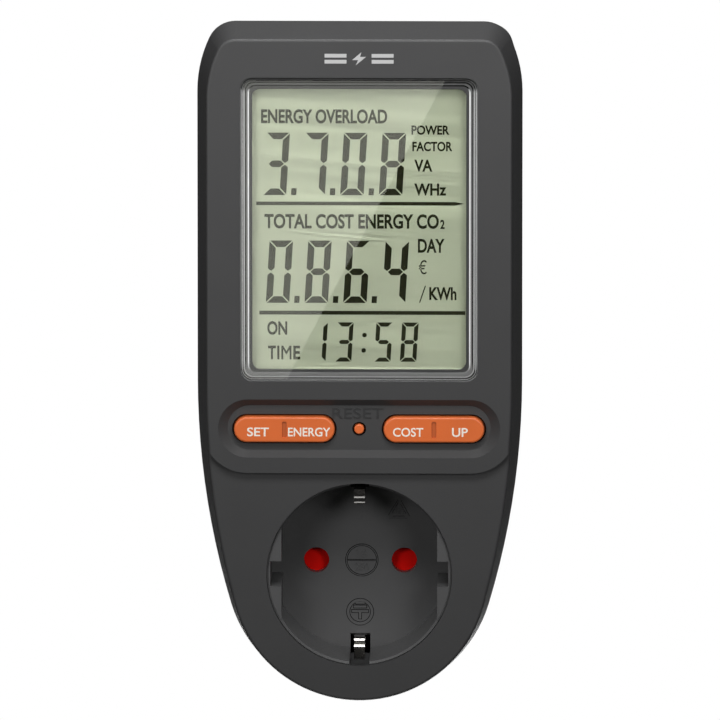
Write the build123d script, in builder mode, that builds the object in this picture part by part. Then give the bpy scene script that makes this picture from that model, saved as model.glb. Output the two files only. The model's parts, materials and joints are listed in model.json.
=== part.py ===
from build123d import *

import os
from math import asin, cos, degrees, radians, sin, sqrt

# Plug in power meter.
# Frame: millimetres. The origin is the centre of the plug's flat face, on the common axis of plug
# and socket. +X is to the right seen from the front, +Z is up, +Y points into the wall.

# --- Housing outline, seen from the front ---
BODY_WIDTH = 70.0
BODY_TOP = 119.2            # top edge above the socket axis
CHIN_RADIUS = 29.05         # round lower end, centred on the socket axis
SIDE_STRAIGHT_FROM = 41.0   # the sides are straight above this height
CORNER_FROM = 104.0         # and start to curve in here
CORNER_RADIUS = 27.0        # large arc from the side
CORNER_TIP_RADIUS = 6.25    # small arc into the top edge
FRONT_INSET = 2.2           # how far the drafted side walls lean in by the front, at sides and top
FRONT_CHIN_INSET = 1.65     # the same round the chin
REAR_INSET = 1.3            # the same from the parting line to the back, at sides and chin
REAR_TOP_INSET = 4.3        # and at the top, which leans in more
WALL = 2.2

# --- Depths along Y ---
BACK_FACE = -17.5
PARTING = -41.4
LOWER_FACE = -52.0          # front of the socket area
PANEL_FACE = -53.5          # front of the raised upper panel
FRONT_INNER = LOWER_FACE + WALL
BACK_INNER = BACK_FACE - WALL
PANEL_EDGE_RADIUS = 0.6
BACK_EDGE_RADIUS = 4.0
OUTSIDE = 6.0               # how far cutters run past a face

# --- Raised panel's lower edge and the button recess ---
STEP_LEVEL = 22.5
STEP_ARC_X = 24.0
STEP_ARC_RADIUS = 9.8
RECESS_LEVEL = 32.25
RECESS_TOP_SIZE = (60.74, 12.72)
RECESS_FLOOR_SIZE = (56.6, 9.72)

# --- Keys ---
KEY_X = 16.1
KEY_LEVEL = 32.0
KEY_SIZE = (21.7, 5.6)
KEY_GAP = 0.4
KEY_FACE = -53.5
KEY_GROOVE = (1.0, 3.6)
KEY_GROOVE_CORNER = 0.4
KEY_GROOVE_DEPTH = 0.35
KEY_PIVOT_Y = -48.7
KEY_PIN_RADIUS = 0.80
KEY_BEARING_RADIUS = 0.85
KEY_PLUNGER_X = 7.6
RESET_RADIUS = 1.075
RESET_HOLE_RADIUS = 1.5

# --- Display ---
WINDOW_LEVEL = 75.65
LENS_SIZE = (51.0, 66.0)
LENS_CORNER = 2.4
LENS_SEAT = -52.1
LENS_FACE = -53.75
SIGHT_SIZE = (45.8, 61.0)
SIGHT_CORNER = 1.6
GLASS_FRONT_SIZE = (50.0, 66.0)
GLASS_REAR_SIZE = (50.0, 61.8)
GLASS_THICKNESS = 1.1
GLASS_FACE = -50.6
PANEL_INNER = -50.7
HOLDER_SIZE = (53.0, 68.2)
BOARD_THICKNESS = 1.6
DISPLAY_BOARD_FACE = -45.0
DISPLAY_BOARD_WIDTH = 60.2
DISPLAY_BOARD_SPAN = (23.9, 109.6)
DISPLAY_SCREW_X = 28.6
DISPLAY_SCREW_LEVELS = (40.6, 101.0)
CENTRE_SCREW_LEVEL = 26.0

# --- Socket ---
SOCKET_RADIUS = 20.0        # round opening of the front cover
CUP_BORE = 19.4             # well of the socket cup behind it
CUP_RADIUS = 21.7
CUP_NECK_RADIUS = 19.9      # its neck inside the cover's opening
CUP_FRONT = LOWER_FACE + 1.0
CUP_RIM_CHAMFER = 0.4
SOCKET_DEPTH = 17.5
SOCKET_FLOOR = LOWER_FACE + SOCKET_DEPTH
FLOOR_THICKNESS = 2.5
FLOOR_BACK = SOCKET_FLOOR + FLOOR_THICKNESS
PIN_X = 9.5
PIN_HOLE_RADIUS = 2.75
KEY_CHORD_X = 16.8
KEY_SLOT = 5.5
KEY_SLOT_REACH = 19.2
EARTH_SLOT_WIDTH = 4.3
EARTH_SLOT_FROM = 16.1
EARTH_SLOT_TO = 20.9
EARTH_SLOT_FRONT = LOWER_FACE + 0.8
EAR_AT = 18.6
EAR_RADIUS = 2.7
EAR_FOOT = 0.85             # share of the way out at which an ear's slot shape is centred
EAR_FACE = -46.8
EAR_THICKNESS = 1.8

# --- Shutter and contacts behind the floor ---
SHUTTER_FRONT = -31.8
SHUTTER_BACK = -29.4
SHUTTER_RADIUS = 13.0
SHUTTER_LEAD = 17.5         # degrees that a lobe covers behind the pin hole's centre
SHUTTER_TRAIL = 24.0        # and ahead of it, in the way it turns
HUB_RADIUS = 2.5
HUB_BORE_RADIUS = 2.56
CHAMBER_BACK = -28.2
CARRIER_RADIUS = 17.0
CARRIER_WALL = 1.5
CARRIER_DISC_BACK = -24.0
CARRIER_BACK = -14.05
CARRIER_SCREW_LEVEL = 12.6
CONTACT_BLOCK_INNER = 4.9
CONTACT_BLOCK_OUTER = 14.1
CONTACT_POCKET = 7.6
POCKET_MARGIN = 0.2         # the carrier's pin holes are this much wider than the floor's

# --- Plug ---
BOSS_RADIUS = 18.5
BOSS_FLAT_X = 16.3
BOSS_RIB = 5.0
BOSS_WALL = 2.2
PLUG_WALL = 2.5
CLIP_WIDTH = 6.0
CLIP_RECESS = 16.2
CLIP_THICKNESS = 0.7
CLIP_BEND = 0.8
PIN_RADIUS = 2.4
PIN_LENGTH = 19.0
PIN_ROOT_RADIUS = 3.0       # thicker root, which fills the hole in the plug's face
PIN_ROOT_END = 0.3
SHOULDER_RADIUS = 3.5
SHOULDER_THICKNESS = 2.0
TAIL_RADIUS = 2.0
TAIL_END = -11.0
EARTH_PIN_LEVEL = 10.0
SLEEVE_BORE = 2.45
SLEEVE_RADIUS = 3.05

# --- Power board and what it carries ---
POWER_BOARD_BACK = -31.4
POWER_BOARD_FRONT = POWER_BOARD_BACK - BOARD_THICKNESS
POWER_BOARD_WIDTH = 54.0
POWER_BOARD_SPAN = (26.5, 102.0)
POWER_SCREW_X = 23.5
POWER_SCREW_LEVELS = (35.0, 98.0)

# --- Case screws ---
TOP_SCREW = (18.0, 111.9)
LOW_SCREW = (25.2, 17.2)
CASE_SCREW_RADIUS = 1.0
CASE_HEAD_RADIUS = 2.1
CASE_HEAD_HEIGHT = 1.8
CASE_HEAD_SEAT = -27.0

WIRE_RADIUS = 1.1
WIRE_BEND = 4.0

# --- Small sizes that several pieces share ---
TONGUE = 0.9                # the rear cover's tongue in the front cover's rabbet
TONGUE_HEIGHT = 1.2
TONGUE_GAP = 0.1
TOP_POST_RADIUS = 2.0
LOW_POST_RADIUS = 2.9
DISPLAY_POST_RADIUS = 1.9
EAR_POST_RADIUS = 2.2
POWER_POST_RADIUS = 2.3
TUBE_RADIUS = 3.2
CASE_PILOT_DEPTH = 7.0
CASE_HEAD_GAP = 0.3
CASE_SHANK_GAP = 0.3
SMALL_SCREW_RADIUS = 0.8
SMALL_HEAD_RADIUS = 1.5
SMALL_HEAD_HEIGHT = 1.1
SMALL_PILOT_DEPTH = 4.2
CASE_SCREW_END_GAP = 1.0    # how far a screw's end stays above the bottom of its pilot hole
SMALL_SCREW_END_GAP = 0.5
CLAMP_SCREW_END_GAP = 0.3
HEAD_CHAMFER = 0.3          # share of a screw head's height
CROSS_DEPTH = 0.5           # share of a screw head's height
CROSS_REACH = 1.3           # shares of a screw head's radius
CROSS_WIDTH = 0.25
BOARD_HOLE_RADIUS = 1.0
BOARD_CORNER = 2.0
LEAD_RADIUS = 0.35
FLANGE_RADIUS = 23.4
FLANGE_THICKNESS = 1.6
COLLAR_GAP = 0.15
COLLAR_WALL = 1.1
COLLAR_HEIGHT = 2.0
HUB_END = -28.5
CARRIER_POST_RADIUS = 2.1
BEARING_AT = 4.2
BEARING_THICKNESS = 1.8
BEARING_WIDTH = 3.6
BEARING_HEIGHT = 2.5
KEY_BACK = -48.0
KEY_EDGE_RADIUS = 0.5
KEY_SKIRT = 0.9
KEY_SKIRT_HEIGHT = 4.4
KEY_SKIRT_THICKNESS = 1.0
KEY_PLUNGER_RADIUS = 1.3
KEY_PLUNGER_LENGTH = 1.0
KEY_PAD_LENGTH = 22.2
RESET_PAD_LENGTH = 6.8
PAD_HEIGHT = 6.4
PAD_CORNER = 3.0
PAD_BASE = 0.5
DOME_RADIUS = 2.2
DOME_HEIGHT = 1.3
DOME_TAPER = 20
RESET_FACE = -52.6
RESET_BACK = -47.0
RESET_EDGE_RADIUS = 0.3
RESET_FLANGE_FACE = -49.4
RESET_FLANGE_RADIUS = 2.0
RESET_FLANGE_THICKNESS = 0.8
LENS_GAP = 0.1
LENS_CHAMFER = 0.5
LENS_BLOCK = 1.0
HOLDER_CORNER = 1.5
HOLDER_GAP = 0.5
GLASS_GAP = 0.2
SHEET_CORNER = 0.4
REFLECTOR_THICKNESS = 0.3
LIP_FACE = -48.0
LIP_WIDTH = 4.0
LIP_THICKNESS = 1.2
PEG_X = 25.85
PEG_RADIUS = 0.6
PEG_GAP = 0.1
ZEBRA_SIZE = (46.0, 1.8)
CHIP_STANDOFF = 0.2
CHIP_LEAD_REACH = 1.0
CHIP_CHAMFER = 0.15         # share of the chip's height
CHIP_LEAD_WIDTH = 0.45      # share of the leads' pitch
CRYSTAL_RADIUS = 1.0
CRYSTAL_LENGTH = 6.0
CRYSTAL_X = 12.0
CRYSTAL_LEVEL = 44.0
CRYSTAL_LEAD_SHIFT = 0.4
CRYSTAL_LEAD_LENGTH = 2.0
BATTERY_RADIUS = 5.8
BATTERY_HEIGHT = 5.0
BATTERY_AT = (14.0, 86.0)
BATTERY_EDGE_RADIUS = 0.8
BATTERY_TAG_SIZE = (3.0, 15.6)
BATTERY_TAG_THICKNESS = 0.3
SHUTTER_HUB_RADIUS = 5.1
SPRING_POST = (2.3, 3.72)
SPRING_POST_RADIUS = 0.5
SPRING_POST_HEIGHT = 1.0
SPRING_START = -28.9
SPRING_PITCH = 0.7
SPRING_TURNS = 3
SPRING_RADIUS = 3.4
SPRING_WIRE_RADIUS = 0.2
SPRING_LEG = 1.2
SPRING_LEG_ENDS = (0.02, 0.98)  # where the legs leave the coil, as a share of its length
SPRING_POCKET = 2.2
POCKET_FACE = -27.2
CONTACT_BLOCK_HEIGHT = 9.6
CONTACT_BLOCK_CORNER = 0.8
CONTACT_MOUTH = 3.4
CONTACT_GRIP = 2.75
CONTACT_SIDE = 3.3
CONTACT_MOUTH_DEPTH = 0.5
CONTACT_GRIP_DEPTH = 4.0
CONTACT_SIDE_DEPTH = 7.5
CONTACT_BEND = 1.0
CONTACT_BASE = -14.3
CONTACT_SHEET = 0.6
CONTACT_WIDTH = 5.0
EARTH_TIP = (-50.3, 18.7)
EARTH_NOSE = [(-47.9, 16.7), (-47.6, 16.15), (-47.5, 15.45), (-47.2, 14.9), (-45.8, 14.6)]
EARTH_FOOT = -37.5
EARTH_BEND = 0.6
EARTH_CLIP_LEVEL = 18.6
EARTH_CLIP_WIDTH = 2.3
EARTH_CROSS = -21.6
EARTH_SHEET = 0.6
NEUTRAL_TAIL_END = -14.0
PIN_TIP_RADIUS = 1.6
PIN_SEAT_GAP = 0.03
EARTH_HOLE_RADIUS = 2.6
CLAMP_POST_RADIUS = 2.4
CLAMP_PILOT_DEPTH = 3.3
CLAMP_SIZE = (27.0, 9.0)
CLAMP_THICKNESS = 2.5
BOSS_CHAMFER = 0.8
CLIP_SIDE_GAP = 0.3
CLIP_SLOT_GAP = 0.06
CLIP_END = -1.2
CLIP_LEG = -20.95
CLIP_LEG_TO = 7.4
FILM_AT = (-8.0, 88.0)
FILM_SIZE = (26.0, 14.0)
FILM_CORNER = 1.0
FILM_EDGE_RADIUS = 0.8
FILM_HEIGHT = 10.0
CAN_PLACES = [(14.0, 88.0), (14.0, 75.0)]
CAN_EDGE_RADIUS = 0.6
CAN_RADIUS = 5.0
CAN_HEIGHT = 10.5
CAN_GROOVE_AT = 1.6
CAN_GROOVE_WIDTH = 0.9
CAN_GROOVE_DEPTH = 0.4
VARISTOR_X = -20.0
VARISTOR_LEVEL = 70.0
VARISTOR_RADIUS = 5.0
VARISTOR_THICKNESS = 4.5
VARISTOR_EDGE_RADIUS = 1.0
VARISTOR_STANDOFF = 0.6
VARISTOR_LEAD_SHIFT = 3.0
DIODE_XS = (-7.5, -2.5, 2.5, 7.5)
DIODE_LEVEL = 70.0
DIODE_RADIUS = 1.3
DIODE_LENGTH = 5.0
DIODE_LEAD_LENGTH = 2.5
RESISTOR_X = -19.0
RESISTOR_LEVEL = 52.0
RESISTOR_RADIUS = 2.0
RESISTOR_LENGTH = 9.0
RESISTOR_EDGE_RADIUS = 0.7
RESISTOR_LEAD_LENGTH = 3.0
SHUNT_XS = (3.5, 16.5)
SHUNT_LEVEL = 40.0
SHUNT_TOP = -26.4
SHUNT_BEND = 1.5
SHUNT_SHEET = 0.8
SHUNT_WIDTH = 4.0
HEADER_AT = (-10.0, 45.0)
HEADER_SIZE = (20.5, 2.5)
HEADER_HEIGHT = 2.5
HEADER_PINS = 8
HEADER_PITCH = 2.54
HEADER_PIN_WIDTH = 0.6
DISPLAY_CHIP_AT = (0.0, 62.0)
DISPLAY_CHIP_SIZE = (11.0, 13.0)
METERING_CHIP_AT = (0.0, 60.0)
METERING_CHIP_SIZE = (4.0, 10.0)
WIRE_TAIL_Y = -8.8
WIRE_LEVEL = 10.8
WIRE_ALLEY = -21.9
WIRE_PAD_LEVEL = 31.0
LOAD_WIRE_SHIFT = 2.3

os.makedirs("parts", exist_ok=True)


def front_plane(y):
    """Sketch plane across the object at depth y: local x is +X, local y is +Z, and the normal
    points out of the front."""
    return Plane.XZ.offset(-y)


def save(builder, name):
    """Label a finished piece and write it to its own STEP file."""
    builder.part.label = name
    export_step(builder.part, f"parts/{name}.step")


def mirrored(x, z):
    """The two points at plus and minus x."""
    return [(-x, z), (x, z)]


def housing_face(y, wall=0.0):
    """Cross-section of the housing at depth y, set in by a wall. The walls lean in from the parting
    line, both ways."""
    if y < PARTING:
        share = (PARTING - y) / (PARTING - PANEL_FACE)
        inset = top_inset = wall + FRONT_INSET * share
        chin_inset = wall + FRONT_CHIN_INSET * share
    else:
        share = (y - PARTING) / (BACK_FACE - PARTING)
        inset = chin_inset = wall + REAR_INSET * share
        top_inset = wall + REAR_TOP_INSET * share
    half = BODY_WIDTH / 2 - inset
    top = BODY_TOP - top_inset
    chin = CHIN_RADIUS - chin_inset
    corner = CORNER_RADIUS - inset
    tip = CORNER_TIP_RADIUS - inset

    # The flank is one arc, tangent to the straight side and to the chin.
    flank = (half**2 + SIDE_STRAIGHT_FROM**2 - chin**2) / (2 * (half - chin))
    flank_centre = Vector(half - flank, SIDE_STRAIGHT_FROM)
    chin_end = flank_centre.normalized() * -chin
    flank_turn = degrees(asin((SIDE_STRAIGHT_FROM - chin_end.Y) / flank))

    # The top corner is a large arc that runs into a small one.
    corner_centre = Vector(half - corner, CORNER_FROM)
    rise = top - tip - CORNER_FROM
    tip_centre = Vector(corner_centre.X + sqrt((corner - tip) ** 2 - rise**2), top - tip)
    corner_turn = degrees(asin(rise / (corner - tip)))

    with BuildSketch(front_plane(y)) as section:
        with BuildLine():
            RadiusArc((0, -chin), chin_end, -chin)
            CenterArc(flank_centre, flank, 0, -flank_turn)
            Line((half, SIDE_STRAIGHT_FROM), (half, CORNER_FROM))
            CenterArc(corner_centre, corner, 0, corner_turn)
            CenterArc(tip_centre, tip, corner_turn, 90 - corner_turn)
            Line((tip_centre.X, top), (0, top))
            mirror(about=Plane.YZ)
        make_face()
    return section.sketch


def back_plane(y):
    """Sketch plane at depth y that faces the wall: local x is -X, local y is +Z."""
    return Plane((0, y, 0), x_dir=(-1, 0, 0), z_dir=(0, 1, 0))


def screws(name, places, plane, shank_radius, head_radius, head_height, length):
    """Identical cross-head screws in one node. The plane lies under their heads, which stand along
    its normal."""
    top = -1 if plane.z_dir.Y > 0 else 0
    with BuildPart() as group:
        with BuildSketch(plane):
            with Locations(*places):
                Circle(head_radius)
        extrude(amount=head_height)
        chamfer(group.edges().group_by(Axis.Y)[top], HEAD_CHAMFER * head_height)
        with BuildSketch(plane):
            with Locations(*places):
                Circle(shank_radius)
        extrude(amount=-length)
        with BuildSketch(plane.offset(head_height)):
            with Locations(*places):
                Rectangle(CROSS_REACH * head_radius, CROSS_WIDTH * head_radius)
                Rectangle(CROSS_WIDTH * head_radius, CROSS_REACH * head_radius)
        extrude(amount=-CROSS_DEPTH * head_height, mode=Mode.SUBTRACT)
    save(group, name)


def slot_face(y, size, centre):
    """Slot-shaped section across the object at depth y."""
    with BuildSketch(front_plane(y)) as section:
        with Locations(centre):
            SlotOverall(*size)
    return section.sketch


def window_face(y, size, corner, gap=0.0):
    """Rounded rectangle round the display's centre at depth y."""
    with BuildSketch(front_plane(y)) as section:
        with Locations((0, WINDOW_LEVEL)):
            RectangleRounded(size[0] + 2 * gap, size[1] + 2 * gap, corner + gap)
    return section.sketch


# ---------------------------------------------------------------- housing

DISPLAY_SCREWS = [
    *mirrored(DISPLAY_SCREW_X, DISPLAY_SCREW_LEVELS[0]),
    *mirrored(DISPLAY_SCREW_X, DISPLAY_SCREW_LEVELS[1]),
    (0, CENTRE_SCREW_LEVEL),
]
POWER_SCREWS = [
    *mirrored(POWER_SCREW_X, POWER_SCREW_LEVELS[0]),
    *mirrored(POWER_SCREW_X, POWER_SCREW_LEVELS[1]),
]
CASE_SCREWS = [*mirrored(*TOP_SCREW), *mirrored(*LOW_SCREW)]
KEY_PLACES = mirrored(KEY_X, KEY_LEVEL)

with BuildPart() as front_cover:
    loft([housing_face(PARTING), housing_face(PANEL_FACE)], ruled=True)
    # The socket area lies one step below the panel. The step's edge follows the button recess.
    with BuildSketch(front_plane(LOWER_FACE)):
        with BuildLine():
            Line((0, STEP_LEVEL), (STEP_ARC_X, STEP_LEVEL))
            CenterArc((STEP_ARC_X, STEP_LEVEL + STEP_ARC_RADIUS), STEP_ARC_RADIUS, -90, 90)
            Polyline(
                (STEP_ARC_X + STEP_ARC_RADIUS, STEP_LEVEL + STEP_ARC_RADIUS),
                (BODY_WIDTH, STEP_LEVEL + STEP_ARC_RADIUS),
                (BODY_WIDTH, -BODY_WIDTH),
                (0, -BODY_WIDTH),
            )
            mirror(about=Plane.YZ)
        make_face()
    extrude(amount=OUTSIDE, mode=Mode.SUBTRACT)
    panel, lower = front_cover.faces().filter_by(Axis.Y).sort_by(Axis.Y)[:2]
    panel_rim = panel.edges().filter_by(lambda e: e.center().Z > STEP_LEVEL + STEP_ARC_RADIUS)
    lower_rim = lower.edges().filter_by(lambda e: e.center().Z < STEP_LEVEL - OUTSIDE)
    fillet(panel_rim + lower_rim, PANEL_EDGE_RADIUS)

    # Inside: the drafted cavity, a rabbet for the rear cover's tongue, the pocket of the display.
    loft(
        [housing_face(PARTING, WALL), housing_face(FRONT_INNER, WALL)],
        ruled=True,
        mode=Mode.SUBTRACT,
    )
    extrude(housing_face(PARTING, WALL - TONGUE - TONGUE_GAP), amount=TONGUE_HEIGHT + TONGUE_GAP,
            dir=(0, -1, 0), mode=Mode.SUBTRACT)
    extrude(window_face(FRONT_INNER, HOLDER_SIZE, HOLDER_CORNER, HOLDER_GAP),
            amount=FRONT_INNER - PANEL_INNER, dir=(0, -1, 0), mode=Mode.SUBTRACT)

    # Posts, the socket cup's collar and the keys' bearings, all standing on the inner face.
    with BuildSketch(front_plane(FRONT_INNER)):
        with Locations(*mirrored(*TOP_SCREW)):
            Circle(TOP_POST_RADIUS)
        with Locations(*mirrored(*LOW_SCREW)):
            Circle(LOW_POST_RADIUS)
    extrude(amount=FRONT_INNER - PARTING)
    with BuildSketch(front_plane(FRONT_INNER)):
        with Locations(*DISPLAY_SCREWS):
            Circle(DISPLAY_POST_RADIUS)
    extrude(amount=FRONT_INNER - DISPLAY_BOARD_FACE)
    with BuildSketch(front_plane(FRONT_INNER)):
        with Locations(*mirrored(EAR_AT, EAR_AT)):
            Circle(EAR_POST_RADIUS)
    extrude(amount=FRONT_INNER - EAR_FACE)
    with BuildSketch(front_plane(FRONT_INNER)):
        Circle(FLANGE_RADIUS + COLLAR_GAP + COLLAR_WALL)
        Circle(FLANGE_RADIUS + COLLAR_GAP, mode=Mode.SUBTRACT)
    extrude(amount=-COLLAR_HEIGHT)
    with BuildSketch(front_plane(FRONT_INNER)):
        for x, z in KEY_PLACES:
            with Locations((x, z - BEARING_AT), (x, z + BEARING_AT)):
                Rectangle(BEARING_WIDTH, BEARING_THICKNESS)
    extrude(amount=-BEARING_HEIGHT)
    with BuildSketch(Plane.XY.offset(KEY_LEVEL - BEARING_AT - BEARING_THICKNESS)):
        with Locations((-KEY_X, KEY_PIVOT_Y), (KEY_X, KEY_PIVOT_Y)):
            Circle(KEY_BEARING_RADIUS)
    extrude(amount=2 * (BEARING_AT + BEARING_THICKNESS), mode=Mode.SUBTRACT)

    # Openings: display, button recess, keys, reset button and socket.
    extrude(window_face(LENS_SEAT, LENS_SIZE, LENS_CORNER, LENS_GAP),
            amount=OUTSIDE, dir=(0, -1, 0), mode=Mode.SUBTRACT)
    extrude(window_face(PANEL_INNER, SIGHT_SIZE, SIGHT_CORNER, LENS_GAP),
            amount=OUTSIDE, dir=(0, -1, 0), mode=Mode.SUBTRACT)
    loft(
        [slot_face(LOWER_FACE, RECESS_FLOOR_SIZE, (0, RECESS_LEVEL)),
         slot_face(PANEL_FACE, RECESS_TOP_SIZE, (0, RECESS_LEVEL))],
        ruled=True,
        mode=Mode.SUBTRACT,
    )
    with BuildSketch(front_plane(FRONT_INNER)):
        with Locations(*KEY_PLACES):
            SlotOverall(KEY_SIZE[0] + 2 * KEY_GAP, KEY_SIZE[1] + 2 * KEY_GAP)
        with Locations((0, KEY_LEVEL)):
            Circle(RESET_HOLE_RADIUS)
        Circle(SOCKET_RADIUS)
    extrude(amount=OUTSIDE, mode=Mode.SUBTRACT)
    with BuildSketch(front_plane(FRONT_INNER)):
        Rectangle(EARTH_SLOT_WIDTH, 2 * EARTH_SLOT_TO)
    extrude(amount=FRONT_INNER - EARTH_SLOT_FRONT, mode=Mode.SUBTRACT)

    # Pilot holes of the screws.
    with BuildSketch(front_plane(PARTING)):
        with Locations(*CASE_SCREWS):
            Circle(CASE_SCREW_RADIUS)
    extrude(amount=CASE_PILOT_DEPTH, mode=Mode.SUBTRACT)
    with BuildSketch(front_plane(DISPLAY_BOARD_FACE)):
        with Locations(*DISPLAY_SCREWS):
            Circle(SMALL_SCREW_RADIUS)
    extrude(amount=SMALL_PILOT_DEPTH, mode=Mode.SUBTRACT)
    with BuildSketch(front_plane(EAR_FACE)):
        with Locations(*mirrored(EAR_AT, EAR_AT)):
            Circle(SMALL_SCREW_RADIUS)
    extrude(amount=SMALL_PILOT_DEPTH, mode=Mode.SUBTRACT)
save(front_cover, "front_cover")

with BuildPart() as rear_cover:
    loft([housing_face(PARTING), housing_face(BACK_FACE)], ruled=True)
    back = rear_cover.faces().sort_by(Axis.Y)[-1]
    fillet(back.edges(), BACK_EDGE_RADIUS)
    loft(
        [housing_face(PARTING, WALL), housing_face(BACK_INNER, WALL)],
        ruled=True,
        mode=Mode.SUBTRACT,
    )
    extrude(housing_face(PARTING, WALL - TONGUE), amount=TONGUE_HEIGHT, dir=(0, -1, 0))
    extrude(housing_face(PARTING, WALL), amount=TONGUE_HEIGHT, dir=(0, -1, 0), mode=Mode.SUBTRACT)

    # Plug boss: round, flat at the sides beside a guide rib, with a recess for each earth strip.
    with BuildSketch(front_plane(BACK_FACE)):
        Circle(BOSS_RADIUS)
        flat_depth = BOSS_RADIUS - BOSS_FLAT_X
        for level in (-1, 1):
            height = level * (BOSS_RIB + BOSS_RADIUS) / 2
            with Locations(*mirrored(BOSS_FLAT_X + flat_depth, height)):
                Rectangle(2 * flat_depth, BOSS_RADIUS, mode=Mode.SUBTRACT)
        recess_depth = BOSS_RADIUS - CLIP_RECESS
        with Locations((0, -CLIP_RECESS - recess_depth), (0, CLIP_RECESS + recess_depth)):
            Rectangle(CLIP_WIDTH + 2 * CLIP_SIDE_GAP, 2 * recess_depth, mode=Mode.SUBTRACT)
    extrude(amount=BACK_FACE)
    plug_rim = rear_cover.faces().sort_by(Axis.Y)[-1].edges()
    chamfer(plug_rim, BOSS_CHAMFER)
    with BuildSketch(front_plane(BACK_INNER)):
        Circle(BOSS_RADIUS - BOSS_WALL)
        Rectangle(2 * (BOSS_FLAT_X - BOSS_WALL), 2 * BOSS_RADIUS, mode=Mode.INTERSECT)
        with Locations((0, -BOSS_RADIUS), (0, BOSS_RADIUS)):
            Rectangle(CLIP_WIDTH + 2 * BOSS_WALL, 2 * (BOSS_RADIUS - CLIP_RECESS + BOSS_WALL),
                      mode=Mode.SUBTRACT)
    extrude(amount=BACK_INNER + PLUG_WALL, mode=Mode.SUBTRACT)
    with BuildSketch(front_plane(-PLUG_WALL)):
        Circle(CLAMP_POST_RADIUS)
    extrude(amount=SHOULDER_THICKNESS)
    with BuildSketch(front_plane(-PLUG_WALL - SHOULDER_THICKNESS)):
        Circle(SMALL_SCREW_RADIUS)
    extrude(amount=-CLAMP_PILOT_DEPTH, mode=Mode.SUBTRACT)
    with BuildSketch(front_plane(-PLUG_WALL)):
        with Locations(*mirrored(PIN_X, 0)):
            Circle(PIN_ROOT_RADIUS + PIN_SEAT_GAP)
        with Locations((0, EARTH_PIN_LEVEL)):
            Circle(EARTH_HOLE_RADIUS)
    extrude(amount=-PLUG_WALL, mode=Mode.SUBTRACT)
    with BuildSketch(front_plane(BACK_INNER)):
        clip_level = CLIP_RECESS + CLIP_THICKNESS / 2
        with Locations((0, -clip_level), (0, clip_level)):
            Rectangle(CLIP_WIDTH + 2 * CLIP_SIDE_GAP, CLIP_THICKNESS + 2 * CLIP_SLOT_GAP)
    extrude(amount=-WALL, mode=Mode.SUBTRACT)

    # Screw tubes and the posts of the power board.
    with BuildSketch(front_plane(BACK_INNER)):
        with Locations(*CASE_SCREWS):
            Circle(TUBE_RADIUS)
    extrude(amount=BACK_INNER - PARTING)
    with BuildSketch(front_plane(BACK_INNER)):
        with Locations(*POWER_SCREWS):
            Circle(POWER_POST_RADIUS)
    extrude(amount=BACK_INNER - POWER_BOARD_BACK)
    with BuildSketch(front_plane(CASE_HEAD_SEAT)):
        with Locations(*CASE_SCREWS):
            Circle(CASE_HEAD_RADIUS + CASE_HEAD_GAP)
    extrude(amount=CASE_HEAD_SEAT - BACK_FACE, mode=Mode.SUBTRACT)
    with BuildSketch(front_plane(PARTING)):
        with Locations(*CASE_SCREWS):
            Circle(CASE_SCREW_RADIUS + CASE_SHANK_GAP)
    extrude(amount=PARTING - CASE_HEAD_SEAT, mode=Mode.SUBTRACT)
    with BuildSketch(front_plane(POWER_BOARD_BACK)):
        with Locations(*POWER_SCREWS):
            Circle(SMALL_SCREW_RADIUS)
    extrude(amount=-SMALL_PILOT_DEPTH, mode=Mode.SUBTRACT)
save(rear_cover, "rear_cover")

screws("case_screws", CASE_SCREWS, back_plane(CASE_HEAD_SEAT), CASE_SCREW_RADIUS,
       CASE_HEAD_RADIUS, CASE_HEAD_HEIGHT, CASE_HEAD_SEAT - PARTING + CASE_PILOT_DEPTH - CASE_SCREW_END_GAP)

# ---------------------------------------------------------------- display

with BuildPart() as lcd_window:
    extrude(window_face(LENS_SEAT, LENS_SIZE, LENS_CORNER), amount=LENS_SEAT - LENS_FACE,
            dir=(0, -1, 0))
    chamfer(lcd_window.edges().group_by(Axis.Y)[0], LENS_CHAMFER)
    extrude(window_face(LENS_SEAT, SIGHT_SIZE, SIGHT_CORNER), amount=LENS_BLOCK, dir=(0, 1, 0))
save(lcd_window, "lcd_window")

for name, size, face, thickness in (
    ("lcd_front_glass", GLASS_FRONT_SIZE, GLASS_FACE, GLASS_THICKNESS),
    ("lcd_rear_glass", GLASS_REAR_SIZE, GLASS_FACE + GLASS_THICKNESS, GLASS_THICKNESS),
    ("lcd_reflector", GLASS_REAR_SIZE, GLASS_FACE + 2 * GLASS_THICKNESS, REFLECTOR_THICKNESS),
):
    with BuildPart() as sheet:
        with BuildSketch(front_plane(face)):
            with Locations((0, WINDOW_LEVEL)):
                Rectangle(*size)
        extrude(amount=-thickness)
        chamfer(sheet.edges().filter_by(Axis.Y), SHEET_CORNER)
    save(sheet, name)

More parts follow.
